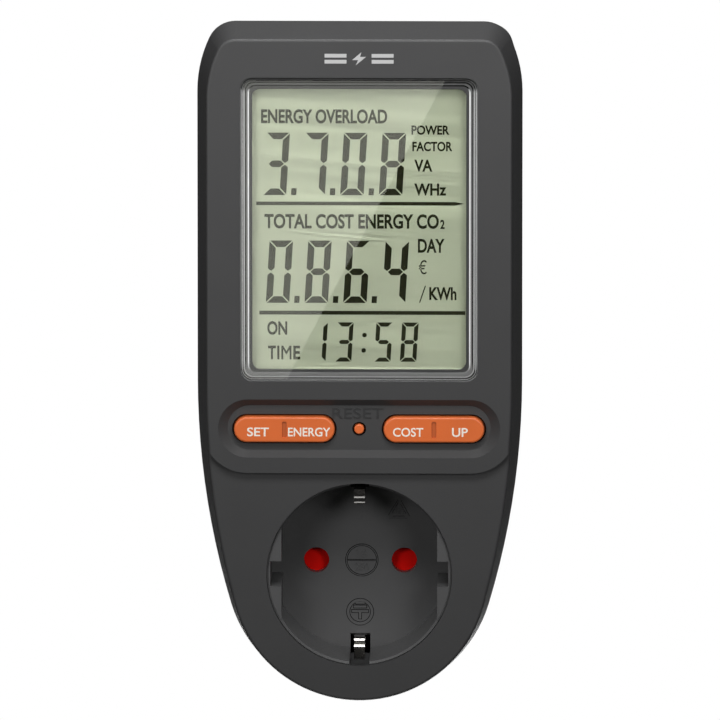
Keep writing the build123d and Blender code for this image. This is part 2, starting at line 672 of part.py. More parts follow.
with BuildPart() as lcd_holder:
    extrude(window_face(GLASS_FACE, HOLDER_SIZE, HOLDER_CORNER), dir=(0, 1, 0),
            amount=DISPLAY_BOARD_FACE - GLASS_FACE)
    with BuildSketch(front_plane(GLASS_FACE)):
        with Locations((0, WINDOW_LEVEL)):
            Rectangle(GLASS_FRONT_SIZE[0] + 2 * GLASS_GAP, GLASS_FRONT_SIZE[1] + 2 * GLASS_GAP)
    extrude(amount=GLASS_FACE - DISPLAY_BOARD_FACE, mode=Mode.SUBTRACT)
    # A lip behind each long side carries the glass, and two pegs locate the frame in the board.
    with BuildSketch(front_plane(LIP_FACE)):
        with Locations(*mirrored(HOLDER_SIZE[0] / 2 - LIP_WIDTH / 2, WINDOW_LEVEL)):
            Rectangle(LIP_WIDTH, GLASS_REAR_SIZE[1])
    extrude(amount=-LIP_THICKNESS)
    with BuildSketch(front_plane(DISPLAY_BOARD_FACE)):
        with Locations(*mirrored(PEG_X, WINDOW_LEVEL)):
            Circle(PEG_RADIUS)
    extrude(amount=-BOARD_THICKNESS)
save(lcd_holder, "lcd_holder")

with BuildPart() as zebra_strips:
    with BuildSketch(front_plane(GLASS_FACE + GLASS_THICKNESS)):
        zebra_level = (GLASS_FRONT_SIZE[1] + GLASS_REAR_SIZE[1]) / 4
        with Locations((0, WINDOW_LEVEL - zebra_level), (0, WINDOW_LEVEL + zebra_level)):
            Rectangle(*ZEBRA_SIZE)
    extrude(amount=GLASS_FACE + GLASS_THICKNESS - DISPLAY_BOARD_FACE)
save(zebra_strips, "zebra_strips")

with BuildPart() as display_board:
    with BuildSketch(front_plane(DISPLAY_BOARD_FACE)):
        with Locations((0, sum(DISPLAY_BOARD_SPAN) / 2)):
            RectangleRounded(
                DISPLAY_BOARD_WIDTH, DISPLAY_BOARD_SPAN[1] - DISPLAY_BOARD_SPAN[0], BOARD_CORNER
            )
        with Locations(*DISPLAY_SCREWS):
            Circle(BOARD_HOLE_RADIUS, mode=Mode.SUBTRACT)
        with Locations(*mirrored(PEG_X, WINDOW_LEVEL)):
            Circle(PEG_RADIUS + PEG_GAP, mode=Mode.SUBTRACT)
    extrude(amount=-BOARD_THICKNESS)
save(display_board, "display_board")

DISPLAY_BOARD_BACK = DISPLAY_BOARD_FACE + BOARD_THICKNESS
screws("display_board_screws", DISPLAY_SCREWS, back_plane(DISPLAY_BOARD_BACK), SMALL_SCREW_RADIUS,
       SMALL_HEAD_RADIUS, SMALL_HEAD_HEIGHT,
       BOARD_THICKNESS + SMALL_PILOT_DEPTH - SMALL_SCREW_END_GAP)


def chip(name, centre, surface, size, height, leads, pitch):
    """Flat integrated circuit on a board's rear side, with gull-wing leads along its long sides."""
    with BuildPart() as package:
        with BuildSketch(front_plane(surface + CHIP_STANDOFF)):
            with Locations(centre):
                Rectangle(*size)
        extrude(amount=-height)
        chamfer(package.edges().group_by(Axis.Y)[-1], CHIP_CHAMFER * height)
        with BuildSketch(front_plane(surface)):
            with Locations((centre[0] - size[0] / 2, centre[1]), (centre[0] + size[0] / 2, centre[1])):
                with GridLocations(0, pitch, 1, leads):
                    Rectangle(2 * CHIP_LEAD_REACH, CHIP_LEAD_WIDTH * pitch)
        extrude(amount=-height / 2)
    save(package, name)


chip("display_chip", DISPLAY_CHIP_AT, DISPLAY_BOARD_BACK, DISPLAY_CHIP_SIZE, 1.5, 16, 0.8)

with BuildPart() as clock_crystal:
    crystal_y = DISPLAY_BOARD_BACK + CRYSTAL_RADIUS
    with BuildSketch(Plane.XY.offset(CRYSTAL_LEVEL)):
        with Locations((CRYSTAL_X, crystal_y)):
            Circle(CRYSTAL_RADIUS)
    extrude(amount=CRYSTAL_LENGTH)
    fillet(clock_crystal.edges().group_by(Axis.Z)[-1], CRYSTAL_RADIUS / 3)
    with BuildSketch(Plane.XY.offset(CRYSTAL_LEVEL)):
        for x in (CRYSTAL_X - CRYSTAL_LEAD_SHIFT, CRYSTAL_X + CRYSTAL_LEAD_SHIFT):
            with Locations((x, crystal_y)):
                Circle(LEAD_RADIUS / 2)
    extrude(amount=-CRYSTAL_LEAD_LENGTH)
save(clock_crystal, "clock_crystal")

with BuildPart() as backup_battery:
    with BuildSketch(front_plane(DISPLAY_BOARD_BACK)):
        with Locations(BATTERY_AT):
            Circle(BATTERY_RADIUS)
    extrude(amount=-BATTERY_HEIGHT)
    fillet(backup_battery.edges().group_by(Axis.Y)[-1], BATTERY_EDGE_RADIUS)
    with BuildSketch(front_plane(DISPLAY_BOARD_BACK + BATTERY_HEIGHT)):
        with Locations(BATTERY_AT):
            Rectangle(*BATTERY_TAG_SIZE)
    extrude(amount=-BATTERY_TAG_THICKNESS)
save(backup_battery, "backup_battery")

# ---------------------------------------------------------------- keys


def rocker(name, x):
    """Two-ended key: a pill with a shallow groove across its middle, hung on stub pins."""
    with BuildPart() as key:
        with BuildSketch(front_plane(KEY_BACK)):
            with Locations((x, KEY_LEVEL)):
                SlotOverall(*KEY_SIZE)
        extrude(amount=KEY_BACK - KEY_FACE)
        fillet(key.edges().group_by(Axis.Y)[0], KEY_EDGE_RADIUS)
        with BuildSketch(front_plane(KEY_FACE)):
            with Locations((x, KEY_LEVEL)):
                RectangleRounded(*KEY_GROOVE, KEY_GROOVE_CORNER)
        extrude(amount=-KEY_GROOVE_DEPTH, mode=Mode.SUBTRACT)
        with BuildSketch(front_plane(KEY_BACK)):
            with Locations((x, KEY_LEVEL)):
                Rectangle(KEY_SIZE[0] + 2 * KEY_SKIRT, KEY_SKIRT_HEIGHT)
        extrude(amount=KEY_SKIRT_THICKNESS)
        with BuildSketch(front_plane(KEY_BACK)):
            with Locations((x - KEY_PLUNGER_X, KEY_LEVEL), (x + KEY_PLUNGER_X, KEY_LEVEL)):
                Circle(KEY_PLUNGER_RADIUS)
        extrude(amount=-KEY_PLUNGER_LENGTH)
        stub_end = BEARING_AT + BEARING_THICKNESS / 2
        with BuildSketch(Plane.XY.offset(KEY_LEVEL - stub_end)):
            with Locations((x, KEY_PIVOT_Y)):
                Circle(KEY_PIN_RADIUS)
        extrude(amount=2 * stub_end)
    save(key, name)


def key_pads(name, x, length, domes):
    """Silicone sheet with one dome under each plunger."""
    with BuildPart() as pads:
        with BuildSketch(front_plane(DISPLAY_BOARD_FACE)):
            with Locations((x, KEY_LEVEL)):
                RectangleRounded(length, PAD_HEIGHT, PAD_CORNER)
        extrude(amount=PAD_BASE)
        with BuildSketch(front_plane(DISPLAY_BOARD_FACE - PAD_BASE)):
            with Locations(*domes):
                Circle(DOME_RADIUS)
        extrude(amount=DOME_HEIGHT, taper=DOME_TAPER)
    save(pads, name)


for side, x in (("left", -KEY_X), ("right", KEY_X)):
    rocker(f"{side}_rocker", x)
    plungers = [(x - KEY_PLUNGER_X, KEY_LEVEL), (x + KEY_PLUNGER_X, KEY_LEVEL)]
    key_pads(f"{side}_key_pads", x, KEY_PAD_LENGTH, plungers)
key_pads("reset_pad", 0, RESET_PAD_LENGTH, [(0, KEY_LEVEL)])

with BuildPart() as reset_button:
    with BuildSketch(front_plane(RESET_BACK)):
        with Locations((0, KEY_LEVEL)):
            Circle(RESET_RADIUS)
    extrude(amount=RESET_BACK - RESET_FACE)
    fillet(reset_button.edges().group_by(Axis.Y)[0], RESET_EDGE_RADIUS)
    with BuildSketch(front_plane(RESET_FLANGE_FACE)):
        with Locations((0, KEY_LEVEL)):
            Circle(RESET_FLANGE_RADIUS)
    extrude(amount=-RESET_FLANGE_THICKNESS)
save(reset_button, "reset_button")

# ---------------------------------------------------------------- socket

with BuildPart() as socket_cup:
    with BuildSketch(front_plane(FRONT_INNER)):
        Circle(CUP_RADIUS)
    extrude(amount=FRONT_INNER - FLOOR_BACK)
    with BuildSketch(front_plane(FRONT_INNER)):
        Circle(CUP_NECK_RADIUS)
    extrude(amount=FRONT_INNER - CUP_FRONT)
    with BuildSketch(front_plane(FRONT_INNER)):
        Circle(FLANGE_RADIUS)
    extrude(amount=-FLANGE_THICKNESS)
    with BuildSketch(front_plane(EAR_FACE)):
        for x, z in mirrored(EAR_AT, EAR_AT):
            SlotCenterPoint((EAR_FOOT * x, EAR_FOOT * z), (x, z), 2 * EAR_RADIUS)
    extrude(amount=-EAR_THICKNESS)
    with BuildSketch(front_plane(SOCKET_FLOOR)):
        Circle(CUP_BORE)
    extrude(amount=SOCKET_DEPTH, mode=Mode.SUBTRACT)
    rim = socket_cup.edges().group_by(Axis.Y)[0].sort_by(SortBy.RADIUS)[0]
    chamfer(rim, CUP_RIM_CHAMFER)
    # Side keys: a flat with a slot through its middle, left and right.
    with BuildSketch(front_plane(SOCKET_FLOOR)):
        Circle((CUP_BORE + CUP_NECK_RADIUS) / 2)
        Rectangle(2 * KEY_CHORD_X, 2 * SOCKET_RADIUS, mode=Mode.SUBTRACT)
        Rectangle(2 * KEY_SLOT_REACH, KEY_SLOT, mode=Mode.SUBTRACT)
    extrude(amount=SOCKET_FLOOR - CUP_FRONT)
    # Behind the floor: the shutter's hub and the carrier's posts.
    with BuildSketch(front_plane(FLOOR_BACK)):
        Circle(HUB_RADIUS)
    extrude(amount=FLOOR_BACK - HUB_END)
    with BuildSketch(front_plane(FLOOR_BACK)):
        with Locations((0, -CARRIER_SCREW_LEVEL), (0, CARRIER_SCREW_LEVEL)):
            Circle(CARRIER_POST_RADIUS)
    extrude(amount=FLOOR_BACK - CHAMBER_BACK)
    with BuildSketch(front_plane(CHAMBER_BACK)):
        with Locations((0, -CARRIER_SCREW_LEVEL), (0, CARRIER_SCREW_LEVEL)):
            Circle(SMALL_SCREW_RADIUS)
    extrude(amount=SMALL_PILOT_DEPTH, mode=Mode.SUBTRACT)
    # Pin holes, earth slots and the ears' screw holes.
    with BuildSketch(front_plane(FLOOR_BACK)):
        with Locations(*mirrored(PIN_X, 0)):
            Circle(PIN_HOLE_RADIUS)
    extrude(amount=FLOOR_THICKNESS, mode=Mode.SUBTRACT)
    with BuildSketch(front_plane(FLOOR_BACK)):
        slot_level = (EARTH_SLOT_FROM + EARTH_SLOT_TO) / 2
        with Locations((0, -slot_level), (0, slot_level)):
            Rectangle(EARTH_SLOT_WIDTH, EARTH_SLOT_TO - EARTH_SLOT_FROM)
    extrude(amount=FLOOR_BACK - CUP_FRONT, mode=Mode.SUBTRACT)
    with BuildSketch(front_plane(EAR_FACE)):
        with Locations(*mirrored(EAR_AT, EAR_AT)):
            Circle(BOARD_HOLE_RADIUS)
    extrude(amount=-EAR_THICKNESS, mode=Mode.SUBTRACT)
save(socket_cup, "socket_cup")

screws("cup_screws", mirrored(EAR_AT, EAR_AT), back_plane(EAR_FACE + EAR_THICKNESS),
       SMALL_SCREW_RADIUS, SMALL_HEAD_RADIUS, SMALL_HEAD_HEIGHT,
       EAR_THICKNESS + SMALL_PILOT_DEPTH - SMALL_SCREW_END_GAP)

with BuildPart() as shutter:
    with BuildSketch(front_plane(SHUTTER_BACK)):
        reach = 2 * SHUTTER_RADIUS
        low, high = radians(-SHUTTER_LEAD), radians(SHUTTER_TRAIL)
        for side in (-1, 1):
            with BuildLine():
                Polyline(
                    (0, 0),
                    (side * reach * cos(low), side * reach * sin(low)),
                    (side * reach * cos(high), side * reach * sin(high)),
                    close=True,
                )
            make_face()
        Circle(SHUTTER_RADIUS, mode=Mode.INTERSECT)
        Circle(SHUTTER_HUB_RADIUS)
        Circle(HUB_BORE_RADIUS, mode=Mode.SUBTRACT)
    extrude(amount=SHUTTER_BACK - SHUTTER_FRONT)
    with BuildSketch(front_plane(SHUTTER_BACK)):
        with Locations(SPRING_POST):
            Circle(SPRING_POST_RADIUS)
    extrude(amount=-SPRING_POST_HEIGHT)
save(shutter, "shutter")

with BuildPart() as shutter_spring:
    with BuildLine() as coil:
        Helix(pitch=SPRING_PITCH, height=SPRING_TURNS * SPRING_PITCH, radius=SPRING_RADIUS,
              center=(0, SPRING_START, 0), direction=(0, 1, 0))
    with BuildSketch(Plane(coil.line @ 0, z_dir=coil.line % 0)):
        Circle(SPRING_WIRE_RADIUS)
    sweep(path=coil.line)
    for end in SPRING_LEG_ENDS:
        foot = coil.line @ end
        outward = Vector(foot.X, 0, foot.Z).normalized()
        with BuildSketch(Plane(foot, z_dir=outward)):
            Circle(SPRING_WIRE_RADIUS)
        extrude(amount=SPRING_LEG)
save(shutter_spring, "shutter_spring")

with BuildPart() as contact_carrier:
    with BuildSketch(front_plane(FLOOR_BACK)):
        Circle(CARRIER_RADIUS)
    extrude(amount=FLOOR_BACK - CARRIER_DISC_BACK)
    with BuildSketch(front_plane(FLOOR_BACK)):
        Circle(CARRIER_RADIUS - CARRIER_WALL)
    extrude(amount=FLOOR_BACK - CHAMBER_BACK, mode=Mode.SUBTRACT)
    with BuildSketch(front_plane(CARRIER_DISC_BACK)):
        block_x = (CONTACT_BLOCK_INNER + CONTACT_BLOCK_OUTER) / 2
        with Locations(*mirrored(block_x, 0)):
            RectangleRounded(CONTACT_BLOCK_OUTER - CONTACT_BLOCK_INNER, CONTACT_BLOCK_HEIGHT,
                             CONTACT_BLOCK_CORNER)
    extrude(amount=CARRIER_DISC_BACK - CARRIER_BACK)
    with BuildSketch(front_plane(POCKET_FACE)):
        with Locations(*mirrored(PIN_X, 0)):
            Rectangle(CONTACT_POCKET, CONTACT_POCKET)
    extrude(amount=POCKET_FACE - CARRIER_BACK, mode=Mode.SUBTRACT)
    with BuildSketch(front_plane(POCKET_FACE)):
        with Locations(*mirrored(PIN_X, 0)):
            Circle(PIN_HOLE_RADIUS + POCKET_MARGIN)
    extrude(amount=POCKET_FACE - CHAMBER_BACK, mode=Mode.SUBTRACT)
    with BuildSketch(front_plane(CHAMBER_BACK)):
        Circle(SHUTTER_HUB_RADIUS)
    extrude(amount=-SPRING_POCKET, mode=Mode.SUBTRACT)
    with BuildSketch(front_plane(CHAMBER_BACK)):
        with Locations((0, -CARRIER_SCREW_LEVEL), (0, CARRIER_SCREW_LEVEL)):
            Circle(BOARD_HOLE_RADIUS)
    extrude(amount=CHAMBER_BACK - CARRIER_DISC_BACK, mode=Mode.SUBTRACT)
save(contact_carrier, "contact_carrier")

screws("carrier_screws", [(0, -CARRIER_SCREW_LEVEL), (0, CARRIER_SCREW_LEVEL)],
       back_plane(CARRIER_DISC_BACK), SMALL_SCREW_RADIUS, SMALL_HEAD_RADIUS, SMALL_HEAD_HEIGHT,
       CARRIER_DISC_BACK - CHAMBER_BACK + SMALL_PILOT_DEPTH - SMALL_SCREW_END_GAP)


def strip(name, plane, points, bend, thickness, width):
    """Sheet-metal strip: a bent line drawn in the plane, given a thickness and a width."""
    with BuildPart() as metal:
        with BuildSketch(plane.offset(-width / 2)):
            with BuildLine():
                FilletPolyline(*points, radius=bend)
            trace(line_width=thickness)
        extrude(amount=width)
    save(metal, name)


for name, x in (("neutral_contact", -PIN_X), ("live_contact", PIN_X)):
    side_points = [
        (CONTACT_MOUTH, POCKET_FACE + CONTACT_MOUTH_DEPTH),
        (CONTACT_GRIP, POCKET_FACE + CONTACT_GRIP_DEPTH),
        (CONTACT_SIDE, POCKET_FACE + CONTACT_SIDE_DEPTH),
        (CONTACT_SIDE, CONTACT_BASE),
    ]
    strip(name, Plane((x, 0, 0)), side_points + [(-u, y) for u, y in reversed(side_points)],
          CONTACT_BEND, CONTACT_SHEET, CONTACT_WIDTH)

clip_points = [EARTH_TIP, *EARTH_NOSE, (EARTH_FOOT, EARTH_CLIP_LEVEL)]
clip_points.append((EARTH_CROSS, EARTH_CLIP_LEVEL))
strip("earth_bracket", Plane.YZ, clip_points + [(y, -z) for y, z in reversed(clip_points)],
      EARTH_BEND, EARTH_SHEET, EARTH_CLIP_WIDTH)

# ---------------------------------------------------------------- plug

for name, x, tail_end in (("neutral_pin", -PIN_X, NEUTRAL_TAIL_END), ("live_pin", PIN_X, TAIL_END)):
    with BuildPart() as pin:
        with BuildSketch(front_plane(-PLUG_WALL)):
            with Locations((x, 0)):
                Circle(PIN_RADIUS)
        extrude(amount=-PLUG_WALL - PIN_LENGTH)
        fillet(pin.edges().group_by(Axis.Y)[-1], PIN_TIP_RADIUS)
        with BuildSketch(front_plane(-PLUG_WALL)):
            with Locations((x, 0)):
                Circle(PIN_ROOT_RADIUS)
        extrude(amount=-PLUG_WALL - PIN_ROOT_END)
        with BuildSketch(front_plane(-PLUG_WALL)):
            with Locations((x, 0)):
                Circle(SHOULDER_RADIUS)
        extrude(amount=SHOULDER_THICKNESS)
        with BuildSketch(front_plane(-PLUG_WALL)):
            with Locations((x, 0)):
                Circle(TAIL_RADIUS)
        extrude(amount=-PLUG_WALL - tail_end)
    save(pin, name)

with BuildPart() as plug_earth_clips:
    for side in (-1, 1):
        with BuildSketch(Plane.YZ.offset(-CLIP_WIDTH / 2)):
            with BuildLine():
                FilletPolyline(
                    (CLIP_END, side * (CLIP_RECESS + CLIP_THICKNESS / 2)),
                    (CLIP_LEG, side * (CLIP_RECESS + CLIP_THICKNESS / 2)),
                    (CLIP_LEG, side * CLIP_LEG_TO),
                    radius=CLIP_BEND,
                )
            trace(line_width=CLIP_THICKNESS)
        extrude(amount=CLIP_WIDTH)
save(plug_earth_clips, "plug_earth_clips")

with BuildPart() as earth_sleeve:
    with BuildSketch(front_plane(-PLUG_WALL)):
        with Locations((0, EARTH_PIN_LEVEL)):
            Circle(SLEEVE_RADIUS)
            Circle(SLEEVE_BORE, mode=Mode.SUBTRACT)
    extrude(amount=-PLUG_WALL - CLIP_LEG - CLIP_THICKNESS / 2)
save(earth_sleeve, "earth_sleeve")

with BuildPart() as pin_clamp:
    clamp_back = -PLUG_WALL - SHOULDER_THICKNESS
    with BuildSketch(front_plane(clamp_back)):
        SlotOverall(*CLAMP_SIZE)
        with Locations(*mirrored(PIN_X, 0)):
            Circle(TAIL_RADIUS + PIN_SEAT_GAP, mode=Mode.SUBTRACT)
        Circle(BOARD_HOLE_RADIUS, mode=Mode.SUBTRACT)
    extrude(amount=CLAMP_THICKNESS)
save(pin_clamp, "pin_clamp")

screws("pin_clamp_screw", [(0, 0)], front_plane(clamp_back - CLAMP_THICKNESS), SMALL_SCREW_RADIUS,
       SMALL_HEAD_RADIUS, SMALL_HEAD_HEIGHT, CLAMP_THICKNESS + CLAMP_PILOT_DEPTH - CLAMP_SCREW_END_GAP)

# ---------------------------------------------------------------- power board

with BuildPart() as power_board:
    with BuildSketch(front_plane(POWER_BOARD_FRONT)):
        with Locations((0, sum(POWER_BOARD_SPAN) / 2)):
            RectangleRounded(
                POWER_BOARD_WIDTH, POWER_BOARD_SPAN[1] - POWER_BOARD_SPAN[0], BOARD_CORNER
            )
        with Locations(*POWER_SCREWS):
            Circle(BOARD_HOLE_RADIUS, mode=Mode.SUBTRACT)
    extrude(amount=-BOARD_THICKNESS)
save(power_board, "power_board")
screws("power_board_screws", POWER_SCREWS, front_plane(POWER_BOARD_FRONT), SMALL_SCREW_RADIUS,
       SMALL_HEAD_RADIUS, SMALL_HEAD_HEIGHT,
       BOARD_THICKNESS + SMALL_PILOT_DEPTH - SMALL_SCREW_END_GAP)

chip("metering_chip", METERING_CHIP_AT, POWER_BOARD_BACK, METERING_CHIP_SIZE, 1.6, 8, 1.27)

with BuildPart() as film_capacitor:
    with BuildSketch(front_plane(POWER_BOARD_BACK)):
        with Locations(FILM_AT):
            RectangleRounded(*FILM_SIZE, FILM_CORNER)
    extrude(amount=-FILM_HEIGHT)
    fillet(film_capacitor.edges().group_by(Axis.Y)[-1], FILM_EDGE_RADIUS)
save(film_capacitor, "film_capacitor")

with BuildPart() as electrolytic_capacitors:
    with BuildSketch(front_plane(POWER_BOARD_BACK)):
        with Locations(*CAN_PLACES):
            Circle(CAN_RADIUS)
    extrude(amount=-CAN_HEIGHT)
    fillet(electrolytic_capacitors.edges().group_by(Axis.Y)[-1], CAN_EDGE_RADIUS)
    with BuildSketch(front_plane(POWER_BOARD_BACK + CAN_GROOVE_AT)):
        with Locations(*CAN_PLACES):
            Circle(CAN_RADIUS)
            Circle(CAN_RADIUS - CAN_GROOVE_DEPTH, mode=Mode.SUBTRACT)
    extrude(amount=-CAN_GROOVE_WIDTH, mode=Mode.SUBTRACT)
save(electrolytic_capacitors, "electrolytic_capacitors")

with BuildPart() as varistor:
    with BuildSketch(Plane.YZ.offset(VARISTOR_X)):
        with Locations((POWER_BOARD_BACK + VARISTOR_RADIUS + VARISTOR_STANDOFF, VARISTOR_LEVEL)):
            Circle(VARISTOR_RADIUS)
    extrude(amount=VARISTOR_THICKNESS)
    fillet(varistor.edges().filter_by(GeomType.CIRCLE), VARISTOR_EDGE_RADIUS)
    with BuildSketch(front_plane(POWER_BOARD_BACK)):
        for level in (VARISTOR_LEVEL - VARISTOR_LEAD_SHIFT, VARISTOR_LEVEL + VARISTOR_LEAD_SHIFT):
            with Locations((VARISTOR_X + VARISTOR_THICKNESS / 2, level)):
                Circle(LEAD_RADIUS)
    extrude(amount=-VARISTOR_RADIUS)
save(varistor, "varistor")

with BuildPart() as rectifier_diodes:
    for x in DIODE_XS:
        with BuildSketch(Plane.XY.offset(DIODE_LEVEL)):
            with Locations((x, POWER_BOARD_BACK + DIODE_RADIUS)):
                Circle(DIODE_RADIUS)
        extrude(amount=DIODE_LENGTH)
        with BuildSketch(Plane.XY.offset(DIODE_LEVEL - DIODE_LEAD_LENGTH)):
            with Locations((x, POWER_BOARD_BACK + DIODE_RADIUS)):
                Circle(LEAD_RADIUS)
        extrude(amount=DIODE_LENGTH + 2 * DIODE_LEAD_LENGTH)
save(rectifier_diodes, "rectifier_diodes")

with BuildPart() as dropper_resistor:
    resistor_centre = (POWER_BOARD_BACK + RESISTOR_RADIUS, RESISTOR_LEVEL)
    with BuildSketch(Plane.YZ.offset(RESISTOR_X)):
        with Locations(resistor_centre):
            Circle(RESISTOR_RADIUS)
    extrude(amount=RESISTOR_LENGTH)
    fillet(dropper_resistor.edges().filter_by(GeomType.CIRCLE), RESISTOR_EDGE_RADIUS)
    with BuildSketch(Plane.YZ.offset(RESISTOR_X - RESISTOR_LEAD_LENGTH)):
        with Locations(resistor_centre):
            Circle(LEAD_RADIUS)
    extrude(amount=RESISTOR_LENGTH + 2 * RESISTOR_LEAD_LENGTH)
save(dropper_resistor, "dropper_resistor")

shunt_left, shunt_right = SHUNT_XS
shunt_points = [
    (shunt_left, POWER_BOARD_BACK),
    (shunt_left, SHUNT_TOP),
    (shunt_right, SHUNT_TOP),
    (shunt_right, POWER_BOARD_BACK),
]
strip("shunt_strap", Plane((0, 0, SHUNT_LEVEL)), shunt_points, SHUNT_BEND, SHUNT_SHEET, SHUNT_WIDTH)

with BuildPart() as board_header:
    with BuildSketch(front_plane(DISPLAY_BOARD_BACK)):
        with Locations(HEADER_AT):
            Rectangle(*HEADER_SIZE)
    extrude(amount=-HEADER_HEIGHT)
    with BuildSketch(front_plane(DISPLAY_BOARD_BACK)):
        with Locations(HEADER_AT):
            with GridLocations(HEADER_PITCH, 0, HEADER_PINS, 1):
                Rectangle(HEADER_PIN_WIDTH, HEADER_PIN_WIDTH)
    extrude(amount=DISPLAY_BOARD_BACK - POWER_BOARD_FRONT)
save(board_header, "board_header")


def wire(name, x, start_y, start_z):
    """Insulated wire from the plug or a contact, round the carrier and up to the power board."""
    with BuildPart() as lead:
        with BuildLine() as route:
            FilletPolyline(
                (x, start_y, start_z),
                (x, start_y, WIRE_LEVEL),
                (x, WIRE_ALLEY, WIRE_LEVEL),
                (x, WIRE_ALLEY, WIRE_PAD_LEVEL),
                (x, POWER_BOARD_BACK, WIRE_PAD_LEVEL),
                radius=WIRE_BEND,
            )
        with BuildSketch(Plane(route.line @ 0, z_dir=route.line % 0)):
            Circle(WIRE_RADIUS)
        sweep(path=route.line)
    save(lead, name)


wire("neutral_wire", -PIN_X, WIRE_TAIL_Y, TAIL_RADIUS)
wire("live_wire", PIN_X, WIRE_TAIL_Y, TAIL_RADIUS)
wire("load_wire", PIN_X - LOAD_WIRE_SHIFT, CONTACT_BASE + CONTACT_SHEET / 2 + WIRE_RADIUS, 0)
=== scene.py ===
"""Looks of the plug in power meter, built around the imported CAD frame.

Frame: metres, +X to the right seen from the front, +Z up, -Y out of the front. The functions below
take millimetres, because the pieces are small, and turn them into metres when a mesh is made."""

import json
import math

import bmesh
import bpy
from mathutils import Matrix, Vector


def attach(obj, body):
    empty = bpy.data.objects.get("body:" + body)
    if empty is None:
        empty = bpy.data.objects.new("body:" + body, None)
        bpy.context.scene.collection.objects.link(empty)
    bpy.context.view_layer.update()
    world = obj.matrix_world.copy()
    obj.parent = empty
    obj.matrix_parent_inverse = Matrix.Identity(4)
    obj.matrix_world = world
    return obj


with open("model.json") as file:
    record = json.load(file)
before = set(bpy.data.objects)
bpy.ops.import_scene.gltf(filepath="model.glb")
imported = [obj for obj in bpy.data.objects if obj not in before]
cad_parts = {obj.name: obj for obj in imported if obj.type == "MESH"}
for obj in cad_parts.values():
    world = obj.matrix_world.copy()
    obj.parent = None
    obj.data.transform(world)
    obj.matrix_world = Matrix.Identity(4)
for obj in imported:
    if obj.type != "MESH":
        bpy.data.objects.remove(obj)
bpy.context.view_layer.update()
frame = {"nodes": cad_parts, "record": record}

MM = 0.001
MERGE_DISTANCE = 1e-7       # in metres

# --- The faces that new pieces lie on, in millimetres ---
SEGMENT_DEPTH = -49.5
KEY_FACE = -53.5
KEY_X = 16.1
KEY_LEVEL = 32.0
KEY_GROOVE_DEPTH = 0.35
KEY_GROOVE_SIZE = (0.96, 3.4)
PANEL_FACE = -53.5
RECESS_FLOOR = -52.0
SOCKET_FLOOR = -34.5
PRINT_HEIGHT = 0.03
EMBOSS_HEIGHT = 0.2
SUNK = 0.05                 # how far raised marks run into the face below them
MARK_SHADOW_MARGIN = 0.14   # how far the painted-shadow plates under the socket's marks reach past them

WINDOW_LEVEL = 75.65
LENS_SIZE = (51.0, 66.0)
LENS_CORNER = 2.4
LENS_SEAT = -52.1
RIM_HEIGHT = 0.08
RIM_SEAT_GAP = 0.01
RIM_SHADE_REACH = 30.9      # this far from the window's centre the painted top and bottom shades are full
RIM_SHADE_STOPS = (0.035, 0.985)  # and between these shares of the way up, the sides' painted shade
RIM_WOBBLE = 0.006
RIM_WOBBLE_SCALE = 150.0
# Each painted line of the lens's rim, a painted highlight or shade of its polished steps: where it
# starts and ends inside the lens's edge, and how light it is at the sides, at the top and at the
# bottom.
RIM_PAINTED_LINES = [
    (0.05, 0.45, 0.17, 0.10, 0.12),
    (0.45, 0.70, 0.10, 0.02, 0.01),
    (0.70, 0.92, 0.34, 0.06, 0.22),
    (0.92, 1.20, 0.01, 0.01, 0.12),
    (1.20, 1.58, 0.12, 0.08, 0.12),
    (1.58, 1.84, 0.62, 0.003, 0.10),
]

# --- Printed labels ---
LABEL_LEVELS = (30.55, 32.5)
LABEL_WEIGHT = 0.015

# --- Display content ---
DIGIT_PITCH = 8.32
DIGIT_SIZE = (5.05, 13.6)
DIGIT_STROKE = 1.43
DIGIT_GAP = 0.18
DIGIT_SLANT = 0.061
POINT_SHIFT = 6.1
POINT_SIZE = (1.12, 1.5)
CLOCK_PITCH = 5.55
CLOCK_SIZE = (3.55, 8.57)
CLOCK_STROKE = 0.9
CLOCK_GAP = 0.13
CLOCK_LEVEL = 46.4
COLON_RADIUS = 0.5
TIME_LEVELS = (46.85, 49.85)
SEGMENTS = {
    "0": "abcdef",
    "1": "bc",
    "3": "abcdg",
    "4": "bcfg",
    "5": "acdfg",
    "6": "acdefg",
    "7": "abc",
    "8": "abcdefg",
}

# --- Materials ---
NOISE_RANGE = (0.3, 0.7)    # the middle part of a noise's output, where nearly all of it lies
GLOSS_SPREAD = 0.05

# --- Camera ---
CAMERA_DISTANCE = 4.0
CAMERA_FIELD = 0.15484
CAMERA_PITCH = 10.0
CAMERA_YAW = 0.9
CAMERA_TARGET = (0.0002, PANEL_FACE * MM, 0.0473)


# ---------------------------------------------------------------- materials


def principled(name):
    """A new material, its node tree and its Principled node."""
    material = bpy.data.materials.new(name)
    material.use_nodes = True
    tree = material.node_tree
    return material, tree, tree.nodes["Principled BSDF"]


def noise(tree, scale, detail=3.0, stretch=(1.0, 1.0, 1.0)):
    """A noise texture in the object's own coordinates, with its features 1 / scale metres wide."""
    place = tree.nodes.new("ShaderNodeTexCoord")
    mapping = tree.nodes.new("ShaderNodeMapping")
    mapping.inputs["Scale"].default_value = stretch
    texture = tree.nodes.new("ShaderNodeTexNoise")
    texture.inputs["Scale"].default_value = scale
    texture.inputs["Detail"].default_value = detail
    tree.links.new(place.outputs["Object"], mapping.inputs["Vector"])
    tree.links.new(mapping.outputs["Vector"], texture.inputs["Vector"])
    return texture.outputs["Fac"]


